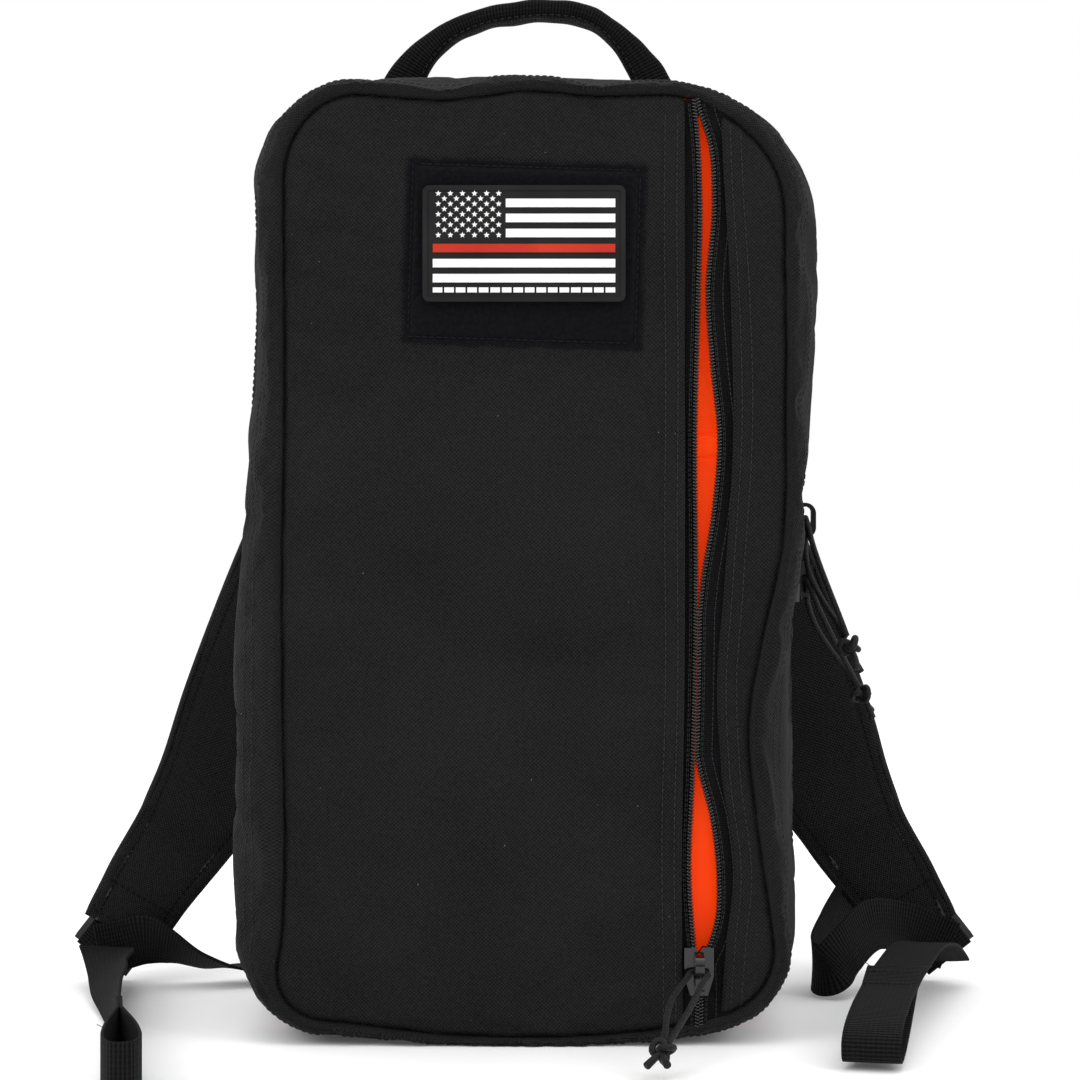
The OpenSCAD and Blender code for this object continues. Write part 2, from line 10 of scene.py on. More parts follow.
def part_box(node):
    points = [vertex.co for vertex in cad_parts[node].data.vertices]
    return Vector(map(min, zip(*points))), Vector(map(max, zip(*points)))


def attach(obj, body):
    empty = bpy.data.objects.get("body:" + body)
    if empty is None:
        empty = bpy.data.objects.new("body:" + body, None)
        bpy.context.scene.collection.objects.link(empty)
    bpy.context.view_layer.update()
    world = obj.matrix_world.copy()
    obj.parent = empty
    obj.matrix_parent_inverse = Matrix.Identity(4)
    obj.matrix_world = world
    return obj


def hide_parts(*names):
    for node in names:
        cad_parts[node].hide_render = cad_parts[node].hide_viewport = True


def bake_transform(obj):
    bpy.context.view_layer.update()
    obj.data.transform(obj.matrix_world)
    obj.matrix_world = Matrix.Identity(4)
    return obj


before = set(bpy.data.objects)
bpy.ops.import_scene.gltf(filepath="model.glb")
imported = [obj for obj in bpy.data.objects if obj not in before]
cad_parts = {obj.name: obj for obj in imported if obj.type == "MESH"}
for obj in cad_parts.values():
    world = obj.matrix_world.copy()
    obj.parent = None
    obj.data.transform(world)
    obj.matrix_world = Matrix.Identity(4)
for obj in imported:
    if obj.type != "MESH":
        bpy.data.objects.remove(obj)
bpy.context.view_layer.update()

# ---------- driving places, taken from the frame ----------

FRONT_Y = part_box("front_panel")[0].y
BACK_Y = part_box("back_panel")[1].y
HALF_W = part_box("rear_gusset")[1].x
TOP_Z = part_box("rear_gusset")[1].z
ZIP_Y = (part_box("main_zip_coil_front")[1].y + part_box("main_zip_coil_rear")[0].y) / 2
ZIP_END_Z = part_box("main_zip_coil_rear")[0].z
FRONT_ZIP_X = (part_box("front_zip_coil_left")[1].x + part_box("front_zip_coil_right")[0].x) / 2
POCKET_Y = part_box("pocket_wall")[0].y
ORGANIZER_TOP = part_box("organizer_binding")[1].z

# Radii of the body's corners, anticlockwise from the lower right as seen from the front.
CORNER_RADII = [0.047, 0.066, 0.050, 0.044]
WEB_W = 0.025                 # webbing
WEB_T = 0.0014
LOCK_WEB_W = 0.0272           # webbing that fills a ladder lock
CLOTH_T = 0.0011              # pack cloth
LINING_T = 0.0008
TAPE_T = 0.0007               # zip tape and binding
FLOOR_GAP = 0.0004            # cloth that lies on the floor
FINE_STITCH = (0.0022, 0.0019, 0.00022)  # pitch, length and radius of the thread on a zip
LOOP = 420                    # points around the body
FRONT_WAY = (0.0, -1.0, 0.0)  # out of the front, and out of the back
BACK_WAY = (0.0, 1.0, 0.0)
TAU = 2 * math.pi


# ---------- small helpers ----------

def smooth(t):
    """Smooth step from 0 to 1."""
    t = np.clip(t, 0.0, 1.0)
    return t * t * (3 - 2 * t)


def mm(values):
    return np.asarray(values, float) * 0.001


def curve(values, x):
    """Smooth curve through (place, level) pairs, given in millimetres and in rising order of place."""
    places, levels = mm(values).T
    slope = np.gradient(levels, places)
    slope[[0, -1]] = 0
    x = np.asarray(x, float)
    i = np.clip(np.searchsorted(places, x) - 1, 0, len(places) - 2)
    step = places[i + 1] - places[i]
    t = np.clip((x - places[i]) / step, 0, 1)
    start = (2 * t**3 - 3 * t**2 + 1) * levels[i] + (t**3 - 2 * t**2 + t) * step * slope[i]
    end = (3 * t**2 - 2 * t**3) * levels[i + 1] + (t**3 - t**2) * step * slope[i + 1]
    return start + end


def ripple(points, size, seed):
    """Smooth, repeatable waviness of about -1 to 1 at each point; size is its wavelength."""
    waves = 6
    rng = np.random.default_rng(seed)
    points = np.asarray(points, float).reshape(-1, 3)
    total = np.zeros(len(points))
    for _ in range(waves):
        direction = rng.normal(size=3)
        direction /= np.linalg.norm(direction)
        turns = points @ direction / size * rng.uniform(0.6, 1.5)
        total += np.sin(TAU * (turns + rng.uniform()))
    return total / math.sqrt(waves)


def waves_on(grid, size, seed):
    """Ripple at each point of a grid (rows, columns, xyz), in the grid's own shape."""
    return ripple(grid, size, seed).reshape(grid.shape[:2])


def through(stations, per_segment):
    """Catmull-Rom curve through the stations along the first axis, with that many steps between two."""
    p = np.asarray(stations, float)
    p = np.concatenate([2 * p[:1] - p[1:2], p, 2 * p[-1:] - p[-2:-1]])
    made = []
    for a, b, c, d in zip(p, p[1:], p[2:], p[3:]):
        for t in np.linspace(0, 1, per_segment, endpoint=False):
            made.append(0.5 * (2 * b + (c - a) * t + (2 * a - 5 * b + 4 * c - d) * t**2
                               + (3 * b - a - 3 * c + d) * t**3))
    made.append(p[-2])
    return np.array(made)


def spline(points, count):
    """Smooth curve through the points, resampled evenly to count points."""
    return resample(through(points, 24), count)


def resample(points, count, axes=3):
    """Points spaced evenly along a polyline; only its first axes measure length, the rest ride along."""
    steps = np.linalg.norm(np.diff(points[:, :axes], axis=0), axis=1)
    far = np.concatenate([[0], np.cumsum(steps)])
    at = np.linspace(0, far[-1], count)
    return np.column_stack([np.interp(at, far, points[:, k]) for k in range(points.shape[1])])


def unit(v):
    v = np.asarray(v, float)
    return v / np.maximum(np.linalg.norm(v, axis=-1, keepdims=True), 1e-12)


def points_at(x, y, z):
    """Points from x, y and z, where each is an array or one number."""
    return np.stack(np.broadcast_arrays(x, y, z), axis=-1)


def new_object(name, verts, faces, material):
    mesh = bpy.data.meshes.new(name)
    mesh.from_pydata([tuple(v) for v in verts], [], [tuple(f) for f in faces])
    mesh.update()
    mesh.shade_smooth()
    mesh.materials.append(material)
    obj = bpy.data.objects.new(name, mesh)
    bpy.context.scene.collection.objects.link(obj)
    return obj


def grid_faces(rows, cols, closed_rows=False, closed_cols=False):
    faces = []
    for i in range(rows if closed_rows else rows - 1):
        for j in range(cols if closed_cols else cols - 1):
            i2, j2 = (i + 1) % rows, (j + 1) % cols
            faces.append((i * cols + j, i * cols + j2, i2 * cols + j2, i2 * cols + j))
    return faces


def capped_faces(rows, cols):
    """Faces of a solid bar whose rings are the rows of a grid, with a cap on each end."""
    last = (rows - 1) * cols
    caps = [tuple(reversed(range(cols))), tuple(range(last, last + cols))]
    return grid_faces(rows, cols, closed_cols=True) + caps


def squarish(turn, across, deep):
    """Cosine and sine of an angle, squared off by powers under 1."""
    c, s = np.cos(turn), np.sin(turn)
    return np.sign(c) * np.abs(c)**across, np.sign(s) * np.abs(s)**deep


def arc_lengths(points):
    """Running length along the second axis of a grid of points, averaged over its rows."""
    steps = np.linalg.norm(np.diff(points, axis=1), axis=2).mean(axis=0)
    return np.concatenate([[0], np.cumsum(steps)])


def sheet(name, points, material, thickness=CLOTH_T, closed=False, offset=-1.0):
    """A cloth sheet over a grid of points (rows, columns, xyz). UV coordinates are in metres."""
    points = np.asarray(points, float)
    rows, cols, _ = points.shape
    obj = new_object(name, points.reshape(-1, 3), grid_faces(rows, cols, closed_rows=closed), material)
    u = arc_lengths(points)
    v = arc_lengths(points.transpose(1, 0, 2))
    v_end = v[-1] + (v[1] - v[0])
    layer = obj.data.uv_layers.new(name="cloth")
    values = np.empty((len(obj.data.loops), 2))
    k = 0
    for i in range(rows if closed else rows - 1):
        v2 = v_end if i + 1 == rows else v[i + 1]
        for j in range(cols - 1):
            values[k:k + 4] = ((u[j], v[i]), (u[j + 1], v[i]), (u[j + 1], v2), (u[j], v2))
            k += 4
    layer.data.foreach_set("uv", values.ravel())
    if thickness:
        solid = obj.modifiers.new("thickness", "SOLIDIFY")
        solid.thickness = thickness
        solid.offset = offset
    return obj


def tube(name, path, radius, material, sides=8, closed=False):
    """A round cord along a path; radius may be one number or one for each point."""
    path = np.asarray(path, float)
    ahead = unit(np.gradient(path, axis=0))
    if closed:
        ahead = unit(np.roll(path, -1, axis=0) - np.roll(path, 1, axis=0))
    side = np.empty_like(path)
    start = np.cross(ahead[0], [0.31, 0.17, 0.93])
    side[0] = unit(start)
    for i in range(1, len(path)):
        side[i] = unit(side[i - 1] - ahead[i] * (side[i - 1] @ ahead[i]))
    other = np.cross(ahead, side)
    radius = np.broadcast_to(radius, len(path))
    turn = np.arange(sides) * TAU / sides
    ring = np.cos(turn)[None, :, None] * side[:, None, :] + np.sin(turn)[None, :, None] * other[:, None, :]
    verts = (path[:, None, :] + ring * radius[:, None, None]).reshape(-1, 3)
    faces = grid_faces(len(path), sides, True, True) if closed else capped_faces(len(path), sides)
    return new_object(name, verts, faces, material)


def stitches(name, rows, material, pitch=0.0031, dash=0.0024, radius=0.00027):
    """Rows of thread dashes in one mesh. Each row is (points, outward normals)."""
    verts, faces = [], []
    turn = np.arange(6) * TAU / 6
    for points, normals in rows:
        points = np.asarray(points, float)
        length = np.linalg.norm(np.diff(points, axis=0), axis=1).sum()
        count = max(2, int(length / pitch))
        both = resample(np.hstack([points, normals]), count * 4)
        for k in range(count - 1):
            a, n = both[4 * k, :3], unit(both[4 * k, 3:])
            ahead = unit(both[4 * k + 3, :3] - a)
            side = np.cross(ahead, n)
            base = len(verts)
            for reach, size in ((0, 0.25), (0.2, 1.0), (0.8, 1.0), (1.0, 0.25)):
                centre = a + ahead * dash * reach + n * radius * (0.5 if 0 < reach < 1 else -0.4)
                for c, s in zip(np.cos(turn), np.sin(turn)):
                    verts.append(centre + (side * c + n * s) * radius * size)
            for ring in range(3):
                for q in range(6):
                    first = base + ring * 6
                    faces.append((first + q, first + (q + 1) % 6, first + 6 + (q + 1) % 6, first + 6 + q))
            faces.append(tuple(base + q for q in reversed(range(6))))
            faces.append(tuple(base + 18 + q for q in range(6)))
    return new_object(name, verts, faces, material)


def facing(line, way):
    """A row for stitches() whose threads all face one way."""
    return line, np.tile(np.asarray(way, float), (len(line), 1))


def coil(name, path, normals, material, hand=1):
    """A zip coil wound along a path that lies on a surface with these normals; hand is its sense of turn."""
    pitch, radius, flat, wire = 0.00145, 0.0011, 0.62, 0.00036
    path = np.asarray(path, float)
    length = np.linalg.norm(np.diff(path, axis=0), axis=1).sum()
    turns = int(length / pitch)
    both = resample(np.hstack([path, normals]), turns * 8)
    centre, n = both[:, :3], unit(both[:, 3:])
    side = np.cross(unit(np.gradient(centre, axis=0)), n)
    phase = np.arange(len(centre)) * TAU / 8 * hand
    wound = centre + radius * (side * np.cos(phase)[:, None] + n * (flat * np.sin(phase))[:, None])
    return tube(name, wound, wire, material, sides=5)


def soften(obj, width, segments=2, angle=30):
    """Rounds the edges that are sharper than an angle in degrees."""
    bevel = obj.modifiers.new("soft edges", "BEVEL")
    bevel.width = width
    bevel.segments = segments
    bevel.limit_method = "ANGLE"
    bevel.angle_limit = math.radians(angle)


def finish_piece(obj, body, slot, *replaced):
    """Rides a piece on its body and hides the CAD nodes it stands for; its slot is not used."""
    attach(obj, body)
    if replaced:
        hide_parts(*replaced)
    return obj


def cloth_piece(name, grid, material, thickness, body, slot, *replaced):
    """A sheet of cloth that is a whole piece by itself."""
    return finish_piece(sheet(name, grid, material, thickness), body, slot, *replaced)


# ---------- materials ----------

class Shader:
    """Builds one node material step by step."""

    def __init__(self, name):
        self.material = bpy.data.materials.new(name)
        self.material.use_nodes = True
        self.tree = self.material.node_tree
        self.bsdf = self.tree.nodes["Principled BSDF"]

    def node(self, kind, inputs=None, **settings):
        made = self.tree.nodes.new(kind)
        for key, value in settings.items():
            setattr(made, key, value)
        for key, value in (inputs or {}).items():
            self.put(made.inputs[key], value)
        return made

    def put(self, socket, value):
        if isinstance(value, bpy.types.NodeSocket):
            self.tree.links.new(value, socket)
        else:
            socket.default_value = value

    def math(self, operation, a, b=0.0):
        return self.node("ShaderNodeMath", {0: a, 1: b}, operation=operation).outputs[0]

    def times(self, a, b):
        return self.math("MULTIPLY", a, b)

    def plus(self, a, b):
        return self.math("ADD", a, b)

    def mix(self, share, a, b):
        """Colour a at share 0, colour b at share 1."""
        made = self.node("ShaderNodeMix", data_type="RGBA")
        self.put(made.inputs[0], share)
        self.put(made.inputs[6], a)
        self.put(made.inputs[7], b)
        return made.outputs[2]

    def noise(self, scale, detail=3.0, roughness=0.55):
        made = self.node("ShaderNodeTexNoise", {"Scale": scale, "Detail": detail, "Roughness": roughness,
                                                "Vector": self.place()})
        return made.outputs["Fac"]

    def place(self):
        return self.node("ShaderNodeTexCoord").outputs["Object"]

    def cloth_uv(self):
        uv = self.node("ShaderNodeUVMap", uv_map="cloth").outputs[0]
        parts = self.node("ShaderNodeSeparateXYZ", {0: uv}).outputs
        return parts[0], parts[1]

    def ramp(self, value, low, high):
        """Maps value from low..high to 0..1 and clamps it."""
        made = self.node("ShaderNodeMapRange", {"Value": value, "From Min": low, "From Max": high})
        return made.outputs[0]

    def bump(self, height, distance):
        made = self.node("ShaderNodeBump", {"Height": height, "Distance": distance, "Strength": 1.0})
        self.put(self.bsdf.inputs["Normal"], made.outputs[0])

    def set(self, **values):
        for key, value in values.items():
            self.put(self.bsdf.inputs[key.replace("_", " ")], value)
        return self.material


def grey(level, blue=1.0):
    return (level, level, level * blue, 1.0)


def woven(name, dark, light, lint):
    """Plain-weave cloth: warp and weft threads, uneven dye and specks of lint; lint is their share. The
    thread crowns are painted lighter and the hollows between them darker: painted highlight and shade of the
    weave.
    """
    s = Shader(name)
    thread = 0.00085
    u, v = s.cloth_uv()
    drift = s.times(s.math("SUBTRACT", s.noise(160.0, 2.0), 0.5), 0.0006)
    warp = s.math("SINE", s.times(s.plus(u, drift), math.pi / thread))
    weft = s.math("SINE", s.times(s.plus(v, drift), math.pi / thread))
    over = s.times(warp, weft)
    slub = s.noise(700.0, 3.0, 0.65)
    height = s.plus(s.times(over, 0.5), s.times(slub, 1.1))
    patchy = s.noise(14.0, 4.0)
    # Colour follows the weave's height: painted highlight on the thread crowns and painted shade in the
    # hollows; the patchy part is uneven dye.
    share = s.ramp(s.plus(s.times(height, 0.75), s.times(patchy, 0.6)), 0.25, 1.25)
    colour = s.mix(share, dark, light)
    speck = s.node("ShaderNodeTexVoronoi", {"Vector": s.place(), "Scale": 300.0})
    near = s.math("LESS_THAN", speck.outputs["Distance"], 0.085)
    chosen = s.math("GREATER_THAN", s.math("FRACT", s.times(speck.outputs["Color"], 7.3)), 1 - lint)
    colour = s.mix(s.times(near, chosen), colour, grey(0.11))
    s.bump(height, 0.0006)
    return s.set(Base_Color=colour, Roughness=0.8, Sheen_Weight=0.03, Sheen_Roughness=0.5,
                 Specular_IOR_Level=0.12)


def ribbed(name, dark, light, rib=0.0011):
    """Webbing or tape: ribs across its length, which is the second UV direction. The rib crests are painted
    lighter and the grooves darker: painted highlight and shade of the ribs.
    """
    s = Shader(name)
    u, v = s.cloth_uv()
    ribs = s.math("SINE", s.times(v, TAU / rib))
    cords = s.math("SINE", s.times(u, TAU / (rib * 1.35)))
    fuzz = s.noise(700.0, 2.0)
    height = s.plus(s.plus(ribs, s.times(cords, 0.35)), s.times(fuzz, 1.4))
    # Colour follows the rib height: painted highlight on the crests and painted shade in the grooves.
    colour = s.mix(s.ramp(height, -0.5, 2.1), dark, light)
    s.bump(height, 0.0002)
    return s.set(Base_Color=colour, Roughness=0.8, Sheen_Weight=0.02, Sheen_Roughness=0.4,
                 Specular_IOR_Level=0.06)


def rubbery(name, low, high, rough=0.5):
    s = Shader(name)
    grain = s.noise(1400.0, 3.0)
    cloudy = s.noise(40.0, 3.0)
    s.bump(grain, 0.00004)
    colour = s.mix(s.ramp(cloudy, 0.35, 0.7), low, high)
    roughness = s.plus(s.times(cloudy, 0.16), rough - 0.08)
    return s.set(Base_Color=colour, Roughness=roughness, Specular_IOR_Level=0.2)


def glossy(name, level, rough, coat=0.6):
    """Enamel or polished plastic with faint orange peel and wear where it is handled."""
    s = Shader(name)
    peel = s.noise(500.0, 2.0)
    wear = s.ramp(s.noise(160.0, 5.0), 0.58, 0.72)
    s.bump(peel, 0.000025)
    colour = s.mix(wear, grey(level), grey(level * 2.6))
    roughness = s.plus(s.times(wear, 0.18), rough)
    return s.set(Base_Color=colour, Roughness=roughness, Specular_IOR_Level=0.3, Coat_Weight=coat,
                 Coat_Roughness=0.08)


def braided(name, dark, light):
    """Braided cord: crossing strands wound around the cord, from its place in space. The strands are painted
    lighter at their crowns and darker between them: painted highlight and shade.
    """
    s = Shader(name)
    speckle = s.node("ShaderNodeTexVoronoi", {"Vector": s.place(), "Scale": 950.0})
    height = s.math("SUBTRACT", 1.0, speckle.outputs["Distance"])
    # Colour follows the strand height: painted highlight on the crowns and painted shade in the gaps.
    colour = s.mix(s.ramp(height, 0.4, 1.0), dark, light)
    s.bump(height, 0.0003)
    return s.set(Base_Color=colour, Roughness=0.6, Sheen_Weight=0.05, Specular_IOR_Level=0.2)


def glowing_satin(name, dark, light):
    """Smooth pack cloth for linings, with fine rip-free weave and soft creases of tone. It glows faintly in
    its darker orange: painted light that keeps the lining bright where it lies in shade.
    """
    s = Shader(name)
    weave = s.noise(2200.0, 2.0)
    cloudy = s.noise(30.0, 3.0)
    colour = s.mix(s.ramp(s.plus(cloudy, s.times(weave, 0.25)), 0.4, 0.85), dark, light)
    s.bump(weave, 0.00005)
    # Painted light: a faint glow in the darker orange keeps the shaded lining bright.
    s.set(Emission_Color=dark, Emission_Strength=0.40)
    return s.set(Base_Color=colour, Roughness=0.5, Specular_IOR_Level=0.12)


def holed_mesh(name, thread, hole, size=0.0022):
    """Spacer mesh: rows of small holes between raised threads; the holes are painted in the dark hole
    colour, painted shade in the openings.
    """
    s = Shader(name)
    u, v = s.cloth_uv()
    rows = s.math("SINE", s.times(u, TAU / size))
    cols = s.math("SINE", s.times(v, TAU / (size * 1.4)))
    fuzz = s.noise(900.0, 2.0)
    height = s.plus(s.times(rows, cols), s.times(fuzz, 0.6))
    # Low places take the hole colour: painted shade in the holes, with the threads lighter on top.
    colour = s.mix(s.ramp(height, -0.25, 0.35), hole, thread)
    s.bump(s.ramp(height, -0.4, 0.4), 0.0006)
    return s.set(Base_Color=colour, Roughness=0.75, Sheen_Weight=0.05, Specular_IOR_Level=0.15)


def pile(name, dark, light):
    """Loop pile of a hook-and-loop field. The higher tufts are painted lighter and the hollows darker:
    painted highlight and shade of the pile.
    """
    s = Shader(name)
    tufts = s.noise(520.0, 6.0, 0.7)
    # Colour follows the tuft height: painted highlight on the tufts and painted shade between them.
    colour = s.mix(s.ramp(tufts, 0.35, 0.75), dark, light)
    s.bump(tufts, 0.0009)
    return s.set(Base_Color=colour, Roughness=0.95, Sheen_Weight=0.05, Sheen_Roughness=0.6,
                 Specular_IOR_Level=0.03)


BLACK_CLOTH = woven("pack_cloth", grey(0.0006, 1.05), grey(0.0170, 1.04), lint=0.02)
STRAP_CLOTH = woven("strap_cloth", grey(0.0010, 1.05), grey(0.0170, 1.04), lint=0.02)
LINING = glowing_satin("orange_lining", (0.90, 0.040, 0.0006, 1), (1.0, 0.066, 0.0015, 1))
BINDING = ribbed("binding_tape", grey(0.003), grey(0.012), rib=0.0009)
ZIP_TAPE = ribbed("zip_tape", grey(0.003, 1.12), grey(0.012, 1.12), rib=0.0008)
WEBBING = ribbed("webbing", grey(0.0020), grey(0.0125), rib=0.0016)
COIL = glossy("zip_coil", 0.0035, 0.16, coat=0.7)
ENAMEL = glossy("slider_enamel", 0.002, 0.14, coat=0.45)
LOCK_PLASTIC = glossy("lock_plastic", 0.002, 0.3, coat=0.15)
CORD = braided("cord", grey(0.003), grey(0.014))
THREAD = ribbed("thread", grey(0.014), grey(0.042))
DARK_THREAD = ribbed("dark_thread", grey(0.002), grey(0.006))
FIELD_THREAD = ribbed("field_thread", grey(0.006, 1.2), grey(0.016, 1.2))
AIR_MESH = holed_mesh("air_mesh", grey(0.012), grey(0.0015))
# The pocket mesh's holes are painted a dim orange: painted shade over the orange lining seen through them.
POCKET_MESH = holed_mesh("pocket_mesh", grey(0.016), (0.25, 0.03, 0.004, 1), size=0.003)
PILE = pile("loop_pile", grey(0.0008, 1.5), grey(0.0052, 1.4))
HOOKS = rubbery("hook_tape", grey(0.003), grey(0.006), 0.6)
PATCH_BASE = rubbery("patch_rubber", grey(0.006), grey(0.010), 0.48)
PATCH_WHITE = rubbery("patch_white", grey(0.72), grey(0.86), 0.5)
PATCH_RED = rubbery("patch_red", (0.40, 0.020, 0.008, 1), (0.48, 0.030, 0.012, 1), 0.5)
SHEET_PLASTIC = rubbery("frame_plastic", grey(0.45), grey(0.55), 0.4)
FOAM = rubbery("foam", grey(0.03), grey(0.05), 0.85)


# ---------- the body's outline ----------

def outline(count):
    """Even points [x, z] around the body as seen from the front, and their outward directions.
    They start at the middle of the bottom and run anticlockwise."""
    rows = [[0.0, 0.0, 0.0, -1.0]]
    signs = ((1, -1), (1, 1), (-1, 1), (-1, -1))
    for k, (radius, (sx, sz)) in enumerate(zip(CORNER_RADII, signs)):
        centre = np.array([sx * (HALF_W - radius), radius if sz < 0 else TOP_Z - radius])
        turn = np.linspace(-math.pi / 2, 0, 40) + k * math.pi / 2
        way = np.column_stack([np.cos(turn), np.sin(turn)])
        rows.extend(np.hstack([centre + radius * way, way]))
    rows.append(rows[0])
    even = resample(np.array(rows), count + 1, axes=2)[:-1]
    return even[:, :2], unit(even[:, 2:])


PLACE, OUT = outline(LOOP)


def by_side(right, top, left, bottom):
    """Blends four values, one for each side of the outline, by the way the outline faces."""
    share = OUT**2 * (OUT > 0)
    other = OUT**2 * (OUT < 0)
    return right * share[:, 0] + top * share[:, 1] + left * other[:, 0] + bottom * other[:, 1]


SEAM_INSET = by_side(
    curve([(0, 8.5), (53, 13), (100, 19.5), (141, 23), (180, 17.5), (215, 11.5), (287, 13.2), (360, 15)],
          PLACE[:, 1]),
    curve([(-80, 11.5), (-40, 14), (0, 10), (26, 11.5), (60, 9.5), (100, 12)], PLACE[:, 0]),
    curve([(0, 18.5), (50, 23.5), (140, 24), (240, 20), (340, 16.4), (430, 16.5)], PLACE[:, 1]),
    curve([(-90, 10), (-30, 4), (20, 3), (60, 6), (90, 11)], PLACE[:, 0]))


def settle(points):
    """The filled bag leans a little to one side at the top and droops at its upper right corner."""
    p = np.array(points, float)
    hold = np.interp(p[..., 1], [-0.045, ZIP_Y, BACK_Y], [1.0, 0.7, 0.45])
    p[..., 0] += (-0.0032 + 0.0080 * smooth((p[..., 2] - 0.14) / 0.2)) * hold
    p[..., 2] -= 0.004 * smooth(p[..., 0] / 0.11) * smooth((p[..., 2] - 0.37) / 0.06) * hold
    p[..., 2] = np.maximum(p[..., 2], FLOOR_GAP)
    return p


def hoop(profile, per_segment=4):
    """Closed band around the body through (inset, y) pairs, each one number or one for each point."""
    stations = np.array([[np.broadcast_to(inset, LOOP), np.broadcast_to(y, LOOP)] for inset, y in profile])
    inset, y = through(stations, per_segment).transpose(1, 2, 0)
    x = PLACE[:, :1] - OUT[:, :1] * inset
    z = PLACE[:, 1:] - OUT[:, 1:] * inset
    return settle(np.stack([x, y, z], axis=-1))


def normals_of(points, closed=False):
    ahead = np.gradient(points, axis=0)
    if closed:
        ahead = np.roll(points, -1, axis=0) - np.roll(points, 1, axis=0)
    return unit(np.cross(np.gradient(points, axis=1), ahead))


def zip_part(points, below=0.004):
    """The rows of a hoop that lie above the lower ends of the main zip, or a little below them."""
    return points[PLACE[:, 1] > ZIP_END_Z - below]


def edge_dense(count):
    """Numbers from 0 to 1, closer together near both ends."""
    t = np.linspace(0, 1, count)
    return (t + (1 - np.cos(math.pi * t)) / 2) / 2


def coons(bottom, top, left, right, cols, rows):
    """Grid of [x, z] inside four border curves; the first two run left to right, the others upwards."""
    u, v = edge_dense(cols), edge_dense(rows)

    def at(side, t):
        side = resample(np.asarray(side), 400, axes=2)
        return np.column_stack([np.interp(t, np.linspace(0, 1, 400), side[:, k]) for k in range(2)])

    b, t, l, r = at(bottom, u)[None], at(top, u)[None], at(left, v)[:, None], at(right, v)[:, None]
    u, v = u[None, :, None], v[:, None, None]
    corners = ((1 - u) * (1 - v) * b[:, :1] + u * (1 - v) * b[:, -1:]
               + (1 - u) * v * t[:, :1] + u * v * t[:, -1:])
    return (1 - v) * b + v * t + (1 - u) * l + u * r - corners


def corner_at(sx, sz):
    """Number of the outline's point in the middle of a corner."""
    return int(np.argmax(OUT @ [sx, sz]))


def stretch(curve_points, start, stop):
    """Points of a closed curve from one number to another, going round if needed."""
    if stop < start:
        return np.vstack([curve_points[start:], curve_points[:stop + 1]])
    return curve_points[start:stop + 1]


LOWER_RIGHT, UPPER_RIGHT = corner_at(1, -1), corner_at(1, 1)
UPPER_LEFT, LOWER_LEFT = corner_at(-1, 1), corner_at(-1, -1)


def full_face(inset, y, cols=50, rows=80):
    """Grid across the whole outline at one depth."""
    edge = PLACE - OUT * np.broadcast_to(inset, LOOP)[:, None]
    grid = coons(stretch(edge, LOWER_LEFT, LOWER_RIGHT), stretch(edge, UPPER_RIGHT, UPPER_LEFT)[::-1],
                 stretch(edge, UPPER_LEFT, LOWER_LEFT)[::-1], stretch(edge, LOWER_RIGHT, UPPER_RIGHT),
                 cols, rows)
    return settle(points_at(grid[..., 0], y, grid[..., 1]))


def distance_to(points, border):
    """Distance in the front view from each grid point to the nearest point of a border."""
    flat = points[..., [0, 2]].reshape(-1, 1, 2)
    return np.linalg.norm(flat - border[None], axis=2).min(axis=1).reshape(points.shape[:2])


def drape(points, pinned, pressure, slack, cap, closed=False):
    """Cloth simulation: the sheet is pinned where pinned is true, has some slack and is blown outwards.
    Returns the points moved by at most cap."""
    rows, cols, _ = points.shape
    flat = points.reshape(-1, 3)
    obj = new_object("drape", flat, grid_faces(rows, cols, closed_rows=closed), BLACK_CLOTH)
    group = obj.vertex_groups.new(name="pinned")
    group.add([int(k) for k in np.flatnonzero(pinned.ravel())], 1.0, "REPLACE")
    cloth = obj.modifiers.new("cloth", "CLOTH")
    cloth.settings.quality = 4
    cloth.settings.mass = 0.25
    cloth.settings.tension_stiffness = 20
    cloth.settings.bending_stiffness = 1.5
    cloth.settings.vertex_group_mass = "pinned"
    cloth.settings.shrink_min = -slack
    cloth.settings.use_pressure = True
    cloth.settings.uniform_pressure_force = pressure
    cloth.settings.effector_weights.gravity = 0
    cloth.collision_settings.use_collision = False
    scene = bpy.context.scene
    for step in range(1, 21):
        scene.frame_set(step)
    result = obj.evaluated_get(bpy.context.evaluated_depsgraph_get())
    moved = np.array([v.co for v in result.data.vertices])
    scene.frame_set(1)
    mesh = obj.data
    bpy.data.objects.remove(obj)
    bpy.data.meshes.remove(mesh)
    delta = moved - flat
    size = np.linalg.norm(delta, axis=1, keepdims=True)
    delta *= np.minimum(1, cap / np.maximum(size, 1e-9))
    return (flat + delta).reshape(points.shape)


class Landing:
    """Finds where a line from the front meets a piece, for stitching that lies on it."""

    def __init__(self, *grids):
        verts, faces = [], []
        for grid in grids:
            rows, cols, _ = grid.shape
            start = len(verts)
            verts.extend(Vector(v) for v in grid.reshape(-1, 3))
            faces.extend(tuple(start + k for k in f) for f in grid_faces(rows, cols))
        self.tree = BVHTree.FromPolygons(verts, faces)

    def drop(self, points, lift):
        """Points moved backwards onto the surface and lifted off it, and the surface's normals there."""
        way = Vector(BACK_WAY)
        landed, normals = [], []
        for p in points:
            hit, normal, _, _ = self.tree.ray_cast(Vector(p) - way * 0.2, way)
            if hit is not None:
                normal = normal if normal.dot(way) < 0 else -normal
                landed.append(hit + normal * lift)
                normals.append(normal)
        return np.array(landed), np.array(normals)


# ---------- front half: panel, side strip and gusset ----------

